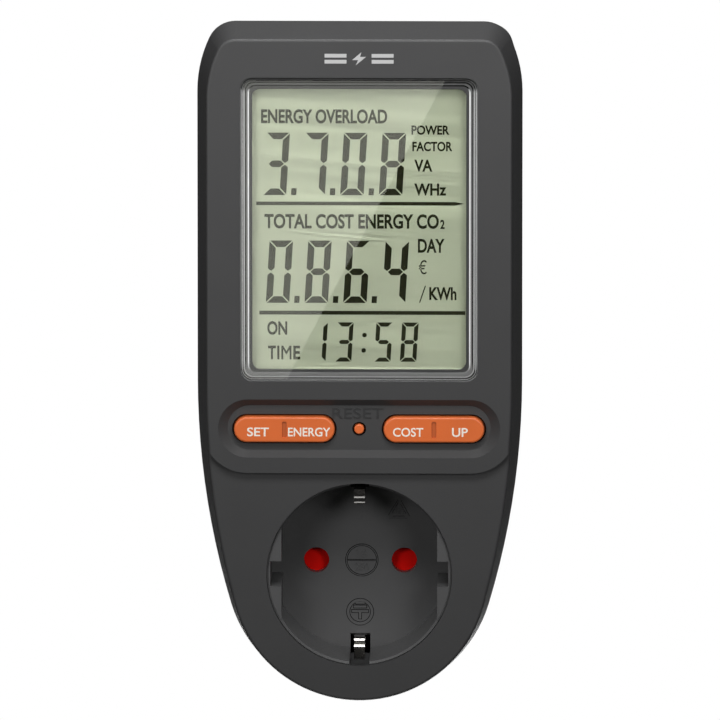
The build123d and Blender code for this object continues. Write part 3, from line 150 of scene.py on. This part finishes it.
def spread(tree, source, low, high):
    """The noise's middle range mapped to low..high."""
    node = tree.nodes.new("ShaderNodeMapRange")
    node.inputs["From Min"].default_value = NOISE_RANGE[0]
    node.inputs["From Max"].default_value = NOISE_RANGE[1]
    node.inputs["To Min"].default_value = low
    node.inputs["To Max"].default_value = high
    tree.links.new(source, node.inputs["Value"])
    return node.outputs["Result"]


def shades(tree, source, dark, light):
    """The noise's middle range as a ramp between two colours."""
    ramp = tree.nodes.new("ShaderNodeValToRGB")
    for stop, position, colour in zip(ramp.color_ramp.elements, NOISE_RANGE, (dark, light)):
        stop.position = position
        stop.color = (*colour, 1.0)
    tree.links.new(source, ramp.inputs["Fac"])
    return ramp.outputs["Color"]


def scaled(colour, factor):
    """A lighter or darker colour, kept within 1."""
    return tuple(min(1.0, channel * factor) for channel in colour)


def moulded(name, colour, roughness=0.5, grain=0.3, relief=0.02, variation=0.06, stretch=(1, 1, 1)):
    """A moulded or coated surface: a fine grain in the relief, and slow changes of shade and gloss.
    Grain is the size of its bumps and relief their height, in millimetres."""
    material, tree, shader = principled(name)
    slow = noise(tree, 60.0, 4.0, stretch)
    fine = noise(tree, 1.0 / (grain * MM), 2.0, stretch)
    shade = shades(tree, slow, scaled(colour, 1 - variation), scaled(colour, 1 + variation))
    tree.links.new(shade, shader.inputs["Base Color"])
    gloss = spread(tree, fine, roughness - GLOSS_SPREAD, roughness + GLOSS_SPREAD)
    tree.links.new(gloss, shader.inputs["Roughness"])
    bump = tree.nodes.new("ShaderNodeBump")
    bump.inputs["Distance"].default_value = relief * MM
    bump.inputs["Strength"].default_value = 1.0
    tree.links.new(fine, bump.inputs["Height"])
    tree.links.new(bump.outputs["Normal"], shader.inputs["Normal"])
    return material


def metal(name, colour, roughness=0.25, stretch=(1.0, 1.0, 12.0), relief=0.004):
    """Worked metal with fine drawing marks along one way."""
    material = moulded(name, colour, roughness, 0.4, relief, 0.05, stretch)
    material.node_tree.nodes["Principled BSDF"].inputs["Metallic"].default_value = 1.0
    return material


def laminate(name, colour):
    """Solder mask over glass weave."""
    material, tree, shader = principled(name)
    place = tree.nodes.new("ShaderNodeTexCoord")
    weave = tree.nodes.new("ShaderNodeTexWave")
    weave.inputs["Scale"].default_value = 400.0
    weave.inputs["Distortion"].default_value = 1.5
    tree.links.new(place.outputs["Object"], weave.inputs["Vector"])
    shade = shades(tree, weave.outputs["Fac"], scaled(colour, 0.85), scaled(colour, 1.15))
    tree.links.new(shade, shader.inputs["Base Color"])
    shader.inputs["Roughness"].default_value = 0.35
    return material


def output_of(tree):
    """The material's output node."""
    return next(node for node in tree.nodes if node.type == "OUTPUT_MATERIAL")


def lamps_pass(material):
    """Lets rays from lamps straight through the material's shader."""
    tree = material.node_tree
    output = output_of(tree)
    shader = output.inputs["Surface"].links[0].from_socket
    path = tree.nodes.new("ShaderNodeLightPath")
    clear = tree.nodes.new("ShaderNodeBsdfTransparent")
    mix = tree.nodes.new("ShaderNodeMixShader")
    tree.links.new(path.outputs["Is Shadow Ray"], mix.inputs["Fac"])
    tree.links.new(shader, mix.inputs[1])
    tree.links.new(clear.outputs["BSDF"], mix.inputs[2])
    tree.links.new(mix.outputs["Shader"], output.inputs["Surface"])


def acrylic(name):
    """Clear polished plastic with a trace of haze."""
    material, tree, shader = principled(name)
    shader.inputs["Base Color"].default_value = (0.97, 0.985, 0.97, 1.0)
    shader.inputs["Transmission Weight"].default_value = 1.0
    shader.inputs["IOR"].default_value = 1.49
    haze = spread(tree, noise(tree, 90.0, 4.0), 0.0, 0.002)
    tree.links.new(haze, shader.inputs["Roughness"])
    lamps_pass(material)
    return material


def display_glass(name):
    """Thin glass that shows what is behind it, with a faint green tint that changes slowly."""
    material, tree, shader = principled(name)
    tree.nodes.remove(shader)
    output = output_of(tree)
    clear = tree.nodes.new("ShaderNodeBsdfTransparent")
    tint = shades(tree, noise(tree, 30.0), (0.975, 0.985, 0.97), (0.985, 0.99, 0.98))
    tree.links.new(tint, clear.inputs["Color"])
    gloss = tree.nodes.new("ShaderNodeBsdfGlossy")
    gloss.inputs["Roughness"].default_value = 0.02
    mix = tree.nodes.new("ShaderNodeMixShader")
    mix.inputs["Fac"].default_value = 0.01
    tree.links.new(clear.outputs["BSDF"], mix.inputs[1])
    tree.links.new(gloss.outputs["BSDF"], mix.inputs[2])
    tree.links.new(mix.outputs["Shader"], output.inputs["Surface"])
    return material


GREY = (0.0455, 0.0455, 0.0462)
ORANGE = (0.78, 0.166, 0.040)

MATERIALS = {
    "grey_abs": moulded("grey_abs", GREY, 0.52, 0.28, 0.012, 0.04),
    "well_polycarbonate": moulded("well_polycarbonate", (0.084, 0.084, 0.085), 0.45, 0.4, 0.008, 0.05),
    "clear_acrylic": acrylic("clear_acrylic"),
    "display_glass": display_glass("display_glass"),
    "display_reflector": moulded("display_reflector", (0.474, 0.498, 0.372), 0.6, 0.2, 0.002, 0.03),
    "black_plastic": moulded("black_plastic", (0.02, 0.02, 0.021), 0.45, 0.4, 0.01),
    "elastomer": moulded("elastomer", (0.10, 0.10, 0.11), 0.7, 0.15, 0.01, 0.1, (1, 1, 12)),
    "board_laminate": laminate("board_laminate", (0.03, 0.16, 0.06)),
    "chip_epoxy": moulded("chip_epoxy", (0.018, 0.018, 0.02), 0.6, 0.1, 0.01),
    "tinned_metal": metal("tinned_metal", (0.62, 0.62, 0.60), 0.3),
    "orange_plastic": moulded("orange_plastic", ORANGE, 0.34, 0.35, 0.004, 0.05),
    "silicone": moulded("silicone", (0.35, 0.35, 0.36), 0.6, 0.3, 0.01),
    "red_plastic": moulded("red_plastic", (0.92, 0.010, 0.007), 0.45, 0.4, 0.005),
    "spring_steel": metal("spring_steel", (0.55, 0.56, 0.57), 0.25),
    "brass": metal("brass", (0.80, 0.58, 0.28), 0.3),
    "nickel_plate": metal("nickel_plate", (0.40, 0.39, 0.375), 0.16, (1.0, 1.0, 4.0), 0.0006),
    "film_case": moulded("film_case", (0.55, 0.42, 0.05), 0.4, 0.6, 0.01),
    "can_sleeve": moulded("can_sleeve", (0.02, 0.03, 0.08), 0.3, 0.5, 0.005),
    "varistor_coat": moulded("varistor_coat", (0.05, 0.12, 0.35), 0.5, 0.8, 0.03),
    "resistor_coat": moulded("resistor_coat", (0.30, 0.36, 0.42), 0.5, 0.5, 0.02),
    "copper_alloy": metal("copper_alloy", (0.85, 0.50, 0.32), 0.3),
    "wire_brown": moulded("wire_brown", (0.13, 0.05, 0.02), 0.4, 0.8, 0.01),
    "wire_blue": moulded("wire_blue", (0.03, 0.10, 0.42), 0.4, 0.8, 0.01),
    "screw_steel": metal("screw_steel", (0.60, 0.60, 0.60), 0.28, (1.0, 1.0, 1.0)),
}
SEGMENT_INK = moulded("segment_ink", (0.012, 0.0125, 0.006), 0.6, 0.3, 0.001, 0.08)
# Painted shadow: near-black plates under the socket's marks stand in for the shadow round them.
PAINTED_MARK_SHADOW = moulded("painted_shadow_under_marks", (0.007, 0.007, 0.007), 0.6, 0.3, 0.001)
for dull in (SEGMENT_INK, PAINTED_MARK_SHADOW, MATERIALS["red_plastic"]):
    dull.node_tree.nodes["Principled BSDF"].inputs["Specular IOR Level"].default_value = 0.0
LABEL_INK = moulded("label_ink", (0.96, 0.90, 0.80), 0.5, 0.2, 0.004, 0.03)
# Painted shade: the moulded word RESET is coloured darker than the grey it is moulded in.
RESET_PAINTED_SHADE = moulded("reset_word_painted_shade", scaled(GREY, 0.6), 0.52, 0.28, 0.012, 0.04)
# Painted shade: a darker orange on the floor of each key's groove stands in for the groove's shade.
KEY_GROOVE_SHADE_PAINT = moulded("painted_groove_shade_orange", scaled(ORANGE, 0.66), 0.4, 0.35, 0.004, 0.05)
EMBLEM_INK = moulded("emblem_ink", (0.52, 0.52, 0.52), 0.35, 0.2, 0.004, 0.04)


# ---------------------------------------------------------------- shapes


def prism(outline, front, back):
    """Vertices and faces of a closed prism: an (x, z) outline from depth front to depth back."""
    count = len(outline)
    vertices = [(x, front, z) for x, z in outline] + [(x, back, z) for x, z in outline]
    faces = [tuple(range(count)), tuple(reversed(range(count, 2 * count)))]
    for i in range(count):
        j = (i + 1) % count
        faces.append((j, i, count + i, count + j))
    return vertices, faces


def disc(centre, radius, steps=32):
    """A round outline."""
    angles = [2 * math.pi * i / steps for i in range(steps)]
    return [(centre[0] + radius * math.cos(a), centre[1] + radius * math.sin(a)) for a in angles]


def band(outer, inner, front, back):
    """Vertices and faces of a closed band between two outlines with as many points."""
    count = len(outer)
    vertices = []
    for outline, depth in ((outer, front), (outer, back), (inner, back), (inner, front)):
        vertices += [(x, depth, z) for x, z in outline]
    faces = []
    for side in range(4):
        here, after = side * count, (side + 1) % 4 * count
        for i in range(count):
            j = (i + 1) % count
            faces.append((here + i, here + j, after + j, after + i))
    return vertices, faces


def ring(centre, outer, inner, front, back, steps=64):
    """Vertices and faces of a flat ring."""
    return band(disc(centre, outer, steps), disc(centre, inner, steps), front, back)


def bar(x_low, x_high, z_low, z_high):
    """A rectangular outline."""
    return [(x_low, z_low), (x_high, z_low), (x_high, z_high), (x_low, z_high)]


def lettering(text, across, levels, front, back, weight=0.0):
    """Vertices and faces of raised letters that fill the ranges across and levels."""
    curve = bpy.data.curves.new("lettering", "FONT")
    curve.body = text
    curve.extrude = 0.5     # any thickness tells the front of a letter from its back
    curve.offset = weight
    curve.resolution_u = 6
    source = bpy.data.objects.new("lettering", curve)
    bpy.context.scene.collection.objects.link(source)
    bpy.context.view_layer.update()
    mesh = bpy.data.meshes.new_from_object(source.evaluated_get(bpy.context.evaluated_depsgraph_get()))
    points = [v.co for v in mesh.vertices]
    low_x, high_x = min(p.x for p in points), max(p.x for p in points)
    low_y, high_y = min(p.y for p in points), max(p.y for p in points)
    wide = (across[1] - across[0]) / (high_x - low_x)
    tall = (levels[1] - levels[0]) / (high_y - low_y)
    vertices = []
    for p in points:
        depth = front if p.z > 0 else back
        vertices.append((across[0] + (p.x - low_x) * wide, depth, levels[0] + (p.y - low_y) * tall))
    faces = [tuple(face.vertices) for face in mesh.polygons]
    bpy.data.objects.remove(source)
    bpy.data.curves.remove(curve)
    bpy.data.meshes.remove(mesh)
    return vertices, faces


def piece(name, shapes, material, body):
    """One object out of several shapes, riding on a body."""
    vertices, faces = [], []
    for shape_vertices, shape_faces in shapes:
        start = len(vertices)
        vertices += [Vector(v) * MM for v in shape_vertices]
        faces += [tuple(start + i for i in face) for face in shape_faces]
    mesh = bpy.data.meshes.new(name)
    mesh.from_pydata(vertices, [], faces)
    work = bmesh.new()
    work.from_mesh(mesh)
    bmesh.ops.remove_doubles(work, verts=work.verts, dist=MERGE_DISTANCE)
    bmesh.ops.recalc_face_normals(work, faces=work.faces)
    work.to_mesh(mesh)
    work.free()
    mesh.materials.append(material)
    made = bpy.data.objects.new(name, mesh)
    bpy.context.scene.collection.objects.link(made)
    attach(made, body)


# ---------------------------------------------------------------- display


def segment_outlines(size, stroke, gap):
    """The seven outlines of a digit, by letter, from its lower left corner."""
    width, height = size
    middle = height / 2
    top = [(gap, height), (width - gap, height), (width - stroke - gap, height - stroke)]
    top.append((stroke + gap, height - stroke))
    upper_left = [
        (0, height - gap),
        (stroke, height - stroke - gap),
        (stroke, middle + stroke / 2 + gap / 2),
        (stroke / 2, middle + gap),
        (0, middle + stroke / 2),
    ]
    centre = [
        (stroke / 2 + gap, middle),
        (stroke + gap, middle + stroke / 2),
        (width - stroke - gap, middle + stroke / 2),
        (width - stroke / 2 - gap, middle),
        (width - stroke - gap, middle - stroke / 2),
        (stroke + gap, middle - stroke / 2),
    ]
    upper_right = [(width - x, z) for x, z in upper_left]
    return {
        "a": top,
        "b": upper_right,
        "c": [(x, height - z) for x, z in upper_right],
        "d": [(x, height - z) for x, z in top],
        "e": [(x, height - z) for x, z in upper_left],
        "f": upper_left,
        "g": centre,
    }


def slanted(outline, corner):
    """An outline leant to the right and moved to its corner."""
    return [(corner[0] + x + z * DIGIT_SLANT, corner[1] + z) for x, z in outline]


def ink(outline):
    """One printed shape of the display."""
    return prism(outline, SEGMENT_DEPTH - PRINT_HEIGHT, SEGMENT_DEPTH)


def digits(text, corner, pitch, size, stroke, gap):
    """The shapes of a row of digits."""
    outlines = segment_outlines(size, stroke, gap)
    shapes = []
    for place, digit in enumerate(text):
        at = (corner[0] + place * pitch, corner[1])
        shapes += [ink(slanted(outlines[letter], at)) for letter in SEGMENTS[digit]]
    return shapes


def reading(text, corner):
    """A row of large digits with a point after each but the last."""
    shapes = digits(text, corner, DIGIT_PITCH, DIGIT_SIZE, DIGIT_STROKE, DIGIT_GAP)
    for place in range(len(text) - 1):
        at = (corner[0] + place * DIGIT_PITCH + POINT_SHIFT, corner[1])
        shapes.append(ink(slanted(bar(0, POINT_SIZE[0], 0, POINT_SIZE[1]), at)))
    return shapes


def legend(text, across, levels, weight=0.03):
    """One printed word of the display."""
    return lettering(text, across, levels, SEGMENT_DEPTH - PRINT_HEIGHT, SEGMENT_DEPTH, weight)


def letter_m(left, right, low, high, stroke):
    """The outline of an M, whose strokes would run together in the built-in font."""
    middle, notch = (left + right) / 2, (low + high) / 2
    return [
        (left, low),
        (left + stroke, low),
        (left + stroke, high - 2.0 * stroke),
        (middle, notch - 1.2 * stroke),
        (right - stroke, high - 2.0 * stroke),
        (right - stroke, low),
        (right, low),
        (right, high),
        (right - stroke, high),
        (middle, notch + 0.6 * stroke),
        (left + stroke, high),
        (left, high),
    ]


def build_display():
    """The display's digits, lines and words."""
    shapes = reading("3708", (-20.77, 82.7)) + reading("0864", (-20.12, 59.2))
    for pair, left in (("13", -10.82), ("58", 3.16)):
        shapes += digits(pair, (left, CLOCK_LEVEL), CLOCK_PITCH, CLOCK_SIZE, CLOCK_STROKE, CLOCK_GAP)
    shapes += [ink(disc(centre, COLON_RADIUS)) for centre in ((1.12, 52.2), (0.94, 48.86))]
    piece("display_digits", shapes, SEGMENT_INK, "housing")

    shapes = [
        ink([(-22.15, 80.5), (20.6, 80.5), (22.5, 80.9), (20.6, 81.27), (-22.15, 81.27)]),
        ink(bar(-21.5, 22.8, 56.65, 57.48)),
        legend("ENERGY OVERLOAD", (-21.1, 6.0), (98.3, 101.4)),
        legend("POWER", (11.2, 19.35), (95.9, 97.95)),
        legend("FACTOR", (11.4, 20.0), (92.3, 94.4)),
        legend("VA", (11.8, 15.7), (87.85, 90.5)),
        legend("WHz", (11.8, 18.7), (82.65, 85.3)),
        legend("TOTAL COST ENERGY CO", (-20.4, 17.1), (75.4, 78.6)),
        legend("2", (17.4, 18.35), (75.4, 77.4)),
        legend("DAY", (12.6, 18.35), (70.2, 73.25)),
        legend("€", (12.8, 14.5), (65.5, 68.6), 0.0),
        ink([(12.85, 59.3), (13.1, 59.3), (14.35, 63.0), (14.1, 63.0)]),
        legend("KWh", (15.05, 20.9), (59.85, 62.7)),
        legend("ON", (-19.8, -15.5), (52.2, 55.2)),
        legend("T", (-19.65, -17.96), TIME_LEVELS),
        ink(bar(-17.66, -17.2, *TIME_LEVELS)),
        ink(letter_m(-16.77, -14.61, *TIME_LEVELS, 0.4)),
        legend("E", (-14.2, -12.72), TIME_LEVELS),
    ]
    piece("display_legends", shapes, SEGMENT_INK, "housing")


def rounded_rectangle(half_width, half_height, radius, steps=10):
    """Outline of a rounded rectangle about the window's centre."""
    points = []
    corners = ((1, 1, 0), (-1, 1, 90), (-1, -1, 180), (1, -1, 270))
    for side, end, start in corners:
        x = side * (half_width - radius)
        z = WINDOW_LEVEL + end * (half_height - radius)
        for i in range(steps + 1):
            angle = math.radians(start + 90 * i / steps)
            points.append((x + radius * math.cos(angle), z + radius * math.sin(angle)))
    return points


def painted_rim_light(name, sides, top, bottom):
    """Painted highlight and shade of a polished edge seen through the lens: its painted shade runs
    from the sides to the top and bottom.
    """
    material, tree, shader = principled(name)
    place = tree.nodes.new("ShaderNodeTexCoord")
    split = tree.nodes.new("ShaderNodeSeparateXYZ")
    tree.links.new(place.outputs["Object"], split.inputs["Vector"])
    level = tree.nodes.new("ShaderNodeMapRange")
    level.inputs["From Min"].default_value = (WINDOW_LEVEL - RIM_SHADE_REACH) * MM
    level.inputs["From Max"].default_value = (WINDOW_LEVEL + RIM_SHADE_REACH) * MM
    tree.links.new(split.outputs["Z"], level.inputs["Value"])
    wobble = tree.nodes.new("ShaderNodeMath")
    wobble.operation = "MULTIPLY_ADD"
    wobble.inputs[1].default_value = RIM_WOBBLE
    tree.links.new(noise(tree, RIM_WOBBLE_SCALE), wobble.inputs[0])
    tree.links.new(level.outputs["Result"], wobble.inputs[2])
    # The ramp paints the shade: the sides' value between its stops, the bottom's and top's at its
    # ends.
    ramp = tree.nodes.new("ShaderNodeValToRGB")
    stops = ramp.color_ramp
    stops.elements[0].position = 0.0
    stops.elements[0].color = (bottom, bottom, bottom, 1.0)
    stops.elements[1].position = 1.0
    stops.elements[1].color = (top, top, top, 1.0)
    for position in RIM_SHADE_STOPS:
        stop = stops.elements.new(position)
        stop.color = (sides, sides, sides, 1.0)
    tree.links.new(wobble.outputs["Value"], ramp.inputs["Fac"])
    tree.links.new(ramp.outputs["Color"], shader.inputs["Base Color"])
    shader.inputs["Roughness"].default_value = 0.4
    shader.inputs["Specular IOR Level"].default_value = 0.0
    return material


def build_lens_rim():
    """Painted highlights and shade: bright and dark lines under the lens's edge, standing in for the
    light that its polished steps catch.
    """
    for number, (outside, inside, sides, top, bottom) in enumerate(RIM_PAINTED_LINES, 1):
        outlines = []
        for offset in (outside, inside):
            radius = LENS_CORNER - 0.5 * offset
            outlines.append(
                rounded_rectangle(LENS_SIZE[0] / 2 - offset, LENS_SIZE[1] / 2 - offset, radius)
            )
        shape = band(outlines[0], outlines[1], LENS_SEAT - RIM_HEIGHT, LENS_SEAT - RIM_SEAT_GAP)
        name = f"lens_rim_painted_light_{number}"
        piece(name, [shape], painted_rim_light(name, sides, top, bottom), "housing")


# ---------------------------------------------------------------- labels and marks


def build_labels():
    """The keys' printed words and the moulded word above the round button."""
    front, back = KEY_FACE - PRINT_HEIGHT, KEY_FACE + SUNK

    def label(text, across):
        return lettering(text, across, LABEL_LEVELS, front, back, LABEL_WEIGHT)

    left = [label("SET", (-24.1, -19.4)), label("ENERGY", (-15.3, -6.2))]
    right = [label("COST", (7.3, 13.8)), label("UP", (20.0, 23.4))]
    piece("left_key_labels", left, LABEL_INK, "left_key")
    piece("right_key_labels", right, LABEL_INK, "right_key")

    # The moulded word gets a painted shade, darker than the face round it.
    word = lettering(
        "RESET", (-5.8, 5.2), (34.3, 36.6), RECESS_FLOOR - EMBOSS_HEIGHT, RECESS_FLOOR + SUNK
    )
    piece("reset_lettering", [word], RESET_PAINTED_SHADE, "housing")


def build_painted_key_groove_shade():
    """Painted shade: darker orange strips on the floor of the groove across each key."""
    front, back = KEY_FACE + KEY_GROOVE_DEPTH - PRINT_HEIGHT, KEY_FACE + KEY_GROOVE_DEPTH + SUNK
    half_width, half_height = KEY_GROOVE_SIZE[0] / 2, KEY_GROOVE_SIZE[1] / 2
    for side, x in (("left", -KEY_X), ("right", KEY_X)):
        outline = bar(x - half_width, x + half_width, KEY_LEVEL - half_height, KEY_LEVEL + half_height)
        shape = prism(outline, front, back)
        piece(f"{side}_key_groove_painted_shade", [shape], KEY_GROOVE_SHADE_PAINT, f"{side}_key")


def build_emblem():
    """A lightning bolt between two pairs of bars, printed above the window."""
    bolt = [(0.5, 114.3), (-1.5, 112.6), (-0.2, 112.6), (-0.7, 111.5), (1.5, 113.3), (0.2, 113.3)]
    front, back = PANEL_FACE - PRINT_HEIGHT, PANEL_FACE + SUNK
    shapes = [prism(bolt, front, back)]
    for low, high in ((111.85, 112.65), (113.15, 113.95)):
        shapes.append(prism(bar(-7.4, -2.7, low, high), front, back))
        shapes.append(prism(bar(2.7, 7.4, low, high), front, back))
    piece("emblem", shapes, EMBLEM_INK, "housing")


def mark_shapes(grow, front):
    """The raised marks of the socket floor, grown by a margin: rating, earth sign and triangle."""

    def line(x_low, x_high, z_low, z_high):
        return prism(bar(x_low - grow, x_high + grow, z_low - grow, z_high + grow), front, back)

    back = SOCKET_FLOOR + SUNK
    shapes = [
        ring((0.3, 0.0), 3.45 + grow, 3.25 - grow, front, back),
        line(-2.9, 3.5, -0.05, 0.05),
        ring((-0.07, -11.4), 2.87 + grow, 2.3 - grow, front, back),
        line(-1.07, 0.93, -9.62, -9.16),
        line(-1.44, 1.30, -10.5, -10.0),
        line(-1.83, 1.69, -11.5, -11.0),
        line(-0.32, 0.18, -12.9, -11.5),
    ]
    corners = [(8.4, 13.7), (5.75, 9.3), (10.8, 9.3)]
    centre = (sum(x for x, z in corners) / 3, sum(z for x, z in corners) / 3)
    for i in range(3):
        outline = []
        for share, inset in ((0.1, -grow), (0.86, -grow), (0.8, 0.5 + grow), (0.16, 0.5 + grow)):
            (x1, z1), (x2, z2) = corners[i], corners[(i + 1) % 3]
            x, z = x1 + (x2 - x1) * share, z1 + (z2 - z1) * share
            reach = math.hypot(centre[0] - x, centre[1] - z)
            outline.append((x + (centre[0] - x) * inset / reach, z + (centre[1] - z) * inset / reach))
        shapes.append(prism(outline, front, back))
    return shapes


def build_socket_marks():
    """Marks on the socket floor: low dark plates of painted shadow, and the raised marks on them."""
    # Painted shadow: dark plates, a little larger than the marks, under them.
    shadow_plates = mark_shapes(MARK_SHADOW_MARGIN, SOCKET_FLOOR - PRINT_HEIGHT)
    piece("socket_mark_painted_shadows", shadow_plates, PAINTED_MARK_SHADOW, "housing")

    front, back = SOCKET_FLOOR - EMBOSS_HEIGHT, SOCKET_FLOOR + SUNK
    shapes = mark_shapes(0.0, front)
    shapes.append(lettering("16", (-0.8, 1.4), (0.6, 2.3), front, back))
    shapes.append(lettering("250", (-1.2, 1.8), (-2.2, -0.6), front, back))
    shapes.append(lettering("05", (7.5, 9.3), (10.1, 11.5), front, back))
    piece("socket_marks", shapes, MATERIALS["well_polycarbonate"], "housing")


# ---------------------------------------------------------------- studio


def area_light(name, place, target, size, power):
    """A soft rectangular lamp at a place, aimed at a target."""
    lamp = bpy.data.lights.new(name, "AREA")
    lamp.shape = "RECTANGLE"
    lamp.size, lamp.size_y = size
    lamp.energy = power
    holder = bpy.data.objects.new(name, lamp)
    holder.location = place
    holder.rotation_euler = (Vector(target) - Vector(place)).to_track_quat("-Z", "Y").to_euler()
    bpy.context.scene.collection.objects.link(holder)


def stage_sheet(name, corners, material):
    """A flat sheet that isn't part of the object."""
    mesh = bpy.data.meshes.new(name)
    mesh.from_pydata([Vector(c) for c in corners], [], [tuple(range(len(corners)))])
    mesh.materials.append(material)
    sheet = bpy.data.objects.new(name, mesh)
    bpy.context.scene.collection.objects.link(sheet)
    return sheet


def hide_from_light(sheet):
    """The camera sees the sheet, but it neither lights the object nor shows in its gloss."""
    sheet.visible_diffuse = False
    sheet.visible_glossy = False
    sheet.visible_transmission = False
    sheet.visible_shadow = False


def glow(name, colour, strength):
    """A plain material that gives off light."""
    material = bpy.data.materials.new(name)
    material.use_nodes = True
    tree = material.node_tree
    tree.nodes.clear()
    emission = tree.nodes.new("ShaderNodeEmission")
    emission.inputs["Color"].default_value = (*colour, 1.0)
    emission.inputs["Strength"].default_value = strength
    output = tree.nodes.new("ShaderNodeOutputMaterial")
    tree.links.new(emission.outputs["Emission"], output.inputs["Surface"])
    return material


def floor_material():
    """White where the camera looks down on it, a pale matt floor for the light, and clear from
    below, so that it hides nothing."""
    material, tree, shader = principled("floor")
    shader.inputs["Roughness"].default_value = 0.9
    shader.inputs["Base Color"].default_value = (0.8, 0.8, 0.8, 1.0)
    output = output_of(tree)
    white = tree.nodes.new("ShaderNodeEmission")
    clear = tree.nodes.new("ShaderNodeBsdfTransparent")
    path = tree.nodes.new("ShaderNodeLightPath")
    geometry = tree.nodes.new("ShaderNodeNewGeometry")
    seen = tree.nodes.new("ShaderNodeMixShader")
    sided = tree.nodes.new("ShaderNodeMixShader")
    tree.links.new(path.outputs["Is Camera Ray"], seen.inputs["Fac"])
    tree.links.new(shader.outputs["BSDF"], seen.inputs[1])
    tree.links.new(white.outputs["Emission"], seen.inputs[2])
    tree.links.new(geometry.outputs["Backfacing"], sided.inputs["Fac"])
    tree.links.new(seen.outputs["Shader"], sided.inputs[1])
    tree.links.new(clear.outputs["BSDF"], sided.inputs[2])
    tree.links.new(sided.outputs["Shader"], output.inputs["Surface"])
    return material


def build_world(ambient):
    """White behind the object, and a dim even light on it."""
    world = bpy.data.worlds.new("studio")
    bpy.context.scene.world = world
    world.use_nodes = True
    tree = world.node_tree
    tree.nodes.clear()
    output = tree.nodes.new("ShaderNodeOutputWorld")
    mix = tree.nodes.new("ShaderNodeMixShader")
    path = tree.nodes.new("ShaderNodeLightPath")
    dim = tree.nodes.new("ShaderNodeBackground")
    dim.inputs["Color"].default_value = (1.0, 1.0, 1.0, 1.0)
    dim.inputs["Strength"].default_value = ambient
    white = tree.nodes.new("ShaderNodeBackground")
    white.inputs["Color"].default_value = (1.0, 1.0, 1.0, 1.0)
    tree.links.new(path.outputs["Is Camera Ray"], mix.inputs["Fac"])
    tree.links.new(dim.outputs["Background"], mix.inputs[1])
    tree.links.new(white.outputs["Background"], mix.inputs[2])
    tree.links.new(mix.outputs["Shader"], output.inputs["Surface"])


def build_studio():
    """The lamps, the white floor and the two cards that the object mirrors."""
    build_world(0.03)
    centre = (0.0, -0.05, 0.05)
    upper_face = (0.0, -0.05, 0.15)
    area_light("softbox", (0.0, -0.30, 0.34), upper_face, (0.30, 0.14), 1.06)
    for side, x in (("left", -1), ("right", 1)):
        area_light(f"front_{side}", (0.175 * x, -0.395, 0.14), upper_face, (0.12, 0.12), 0.39)
        area_light(f"strip_{side}", (0.55 * x, -0.10, 0.10), centre, (0.10, 0.60), 0.085)
    area_light("top_light", (0.0, -0.02, 0.42), (0.0, -0.045, 0.118), (0.25, 0.06), 0.80)
    area_light("back_fill", (0.0, 0.30, -0.33), centre, (0.4, 0.4), 2.5)

    floor_level, floor_reach = -0.35, 6.0
    corners = [
        (-floor_reach, -floor_reach, floor_level),
        (floor_reach, -floor_reach, floor_level),
        (floor_reach, floor_reach, floor_level),
        (-floor_reach, floor_reach, floor_level),
    ]
    floor = stage_sheet("floor", corners, floor_material())
    hide_from_light(floor)

    # A pale card low in front, with a slanting edge, which the window's left part mirrors.
    outline = [(-0.055, -0.08), (-0.055, 0.025), (0.0192, 0.025), (-0.0355, -0.08)]
    card = [(x, -0.66, z) for x, z in outline]
    glare = stage_sheet("glare_card", card, glow("glare_card", (0.99, 1.0, 0.894), 1.39))

    # A card below the front, which the nose of the socket's upper earth clip mirrors.
    card = [(-0.06, -0.14, -0.28), (0.06, -0.14, -0.28), (0.06, -0.20, -0.24), (-0.06, -0.20, -0.24)]
    low = stage_sheet("low_card", card, glow("low_card", (1.0, 1.0, 1.0), 1.0))
    for sheet in (glare, low):
        sheet.visible_camera = False
        sheet.visible_diffuse = False


def build_camera():
    """A long lens from 10 degrees above and a little to the right, aimed between window and keys."""
    pitch, yaw = math.radians(CAMERA_PITCH), math.radians(CAMERA_YAW)
    camera = bpy.data.cameras.new("camera")
    camera.sensor_width = 36.0
    camera.lens = camera.sensor_width * CAMERA_DISTANCE / CAMERA_FIELD
    camera.clip_end = 100.0
    holder = bpy.data.objects.new("camera", camera)
    away = Vector((math.sin(yaw), -math.cos(yaw), 0.0)) * math.cos(pitch)
    away.z = math.sin(pitch)
    holder.location = Vector(CAMERA_TARGET) + CAMERA_DISTANCE * away
    holder.rotation_euler = (math.pi / 2 - pitch, 0.0, yaw)
    bpy.context.scene.collection.objects.link(holder)
    bpy.context.scene.camera = holder


# ---------------------------------------------------------------- scene

for part in frame["record"]["subparts"]:
    node = frame["nodes"][part["node"]]
    for material_slot in node.material_slots:
        material_slot.material = MATERIALS[part["material_slot"]]

# The rear glass carries the cell's matt green film, so nothing behind it shows.
frame["nodes"]["lcd_rear_glass"].material_slots[0].material = MATERIALS["display_reflector"]

build_display()
build_lens_rim()
build_labels()
build_painted_key_groove_shade()
build_emblem()
build_socket_marks()
build_studio()
build_camera()
bpy.context.scene.view_settings.view_transform = "Standard"
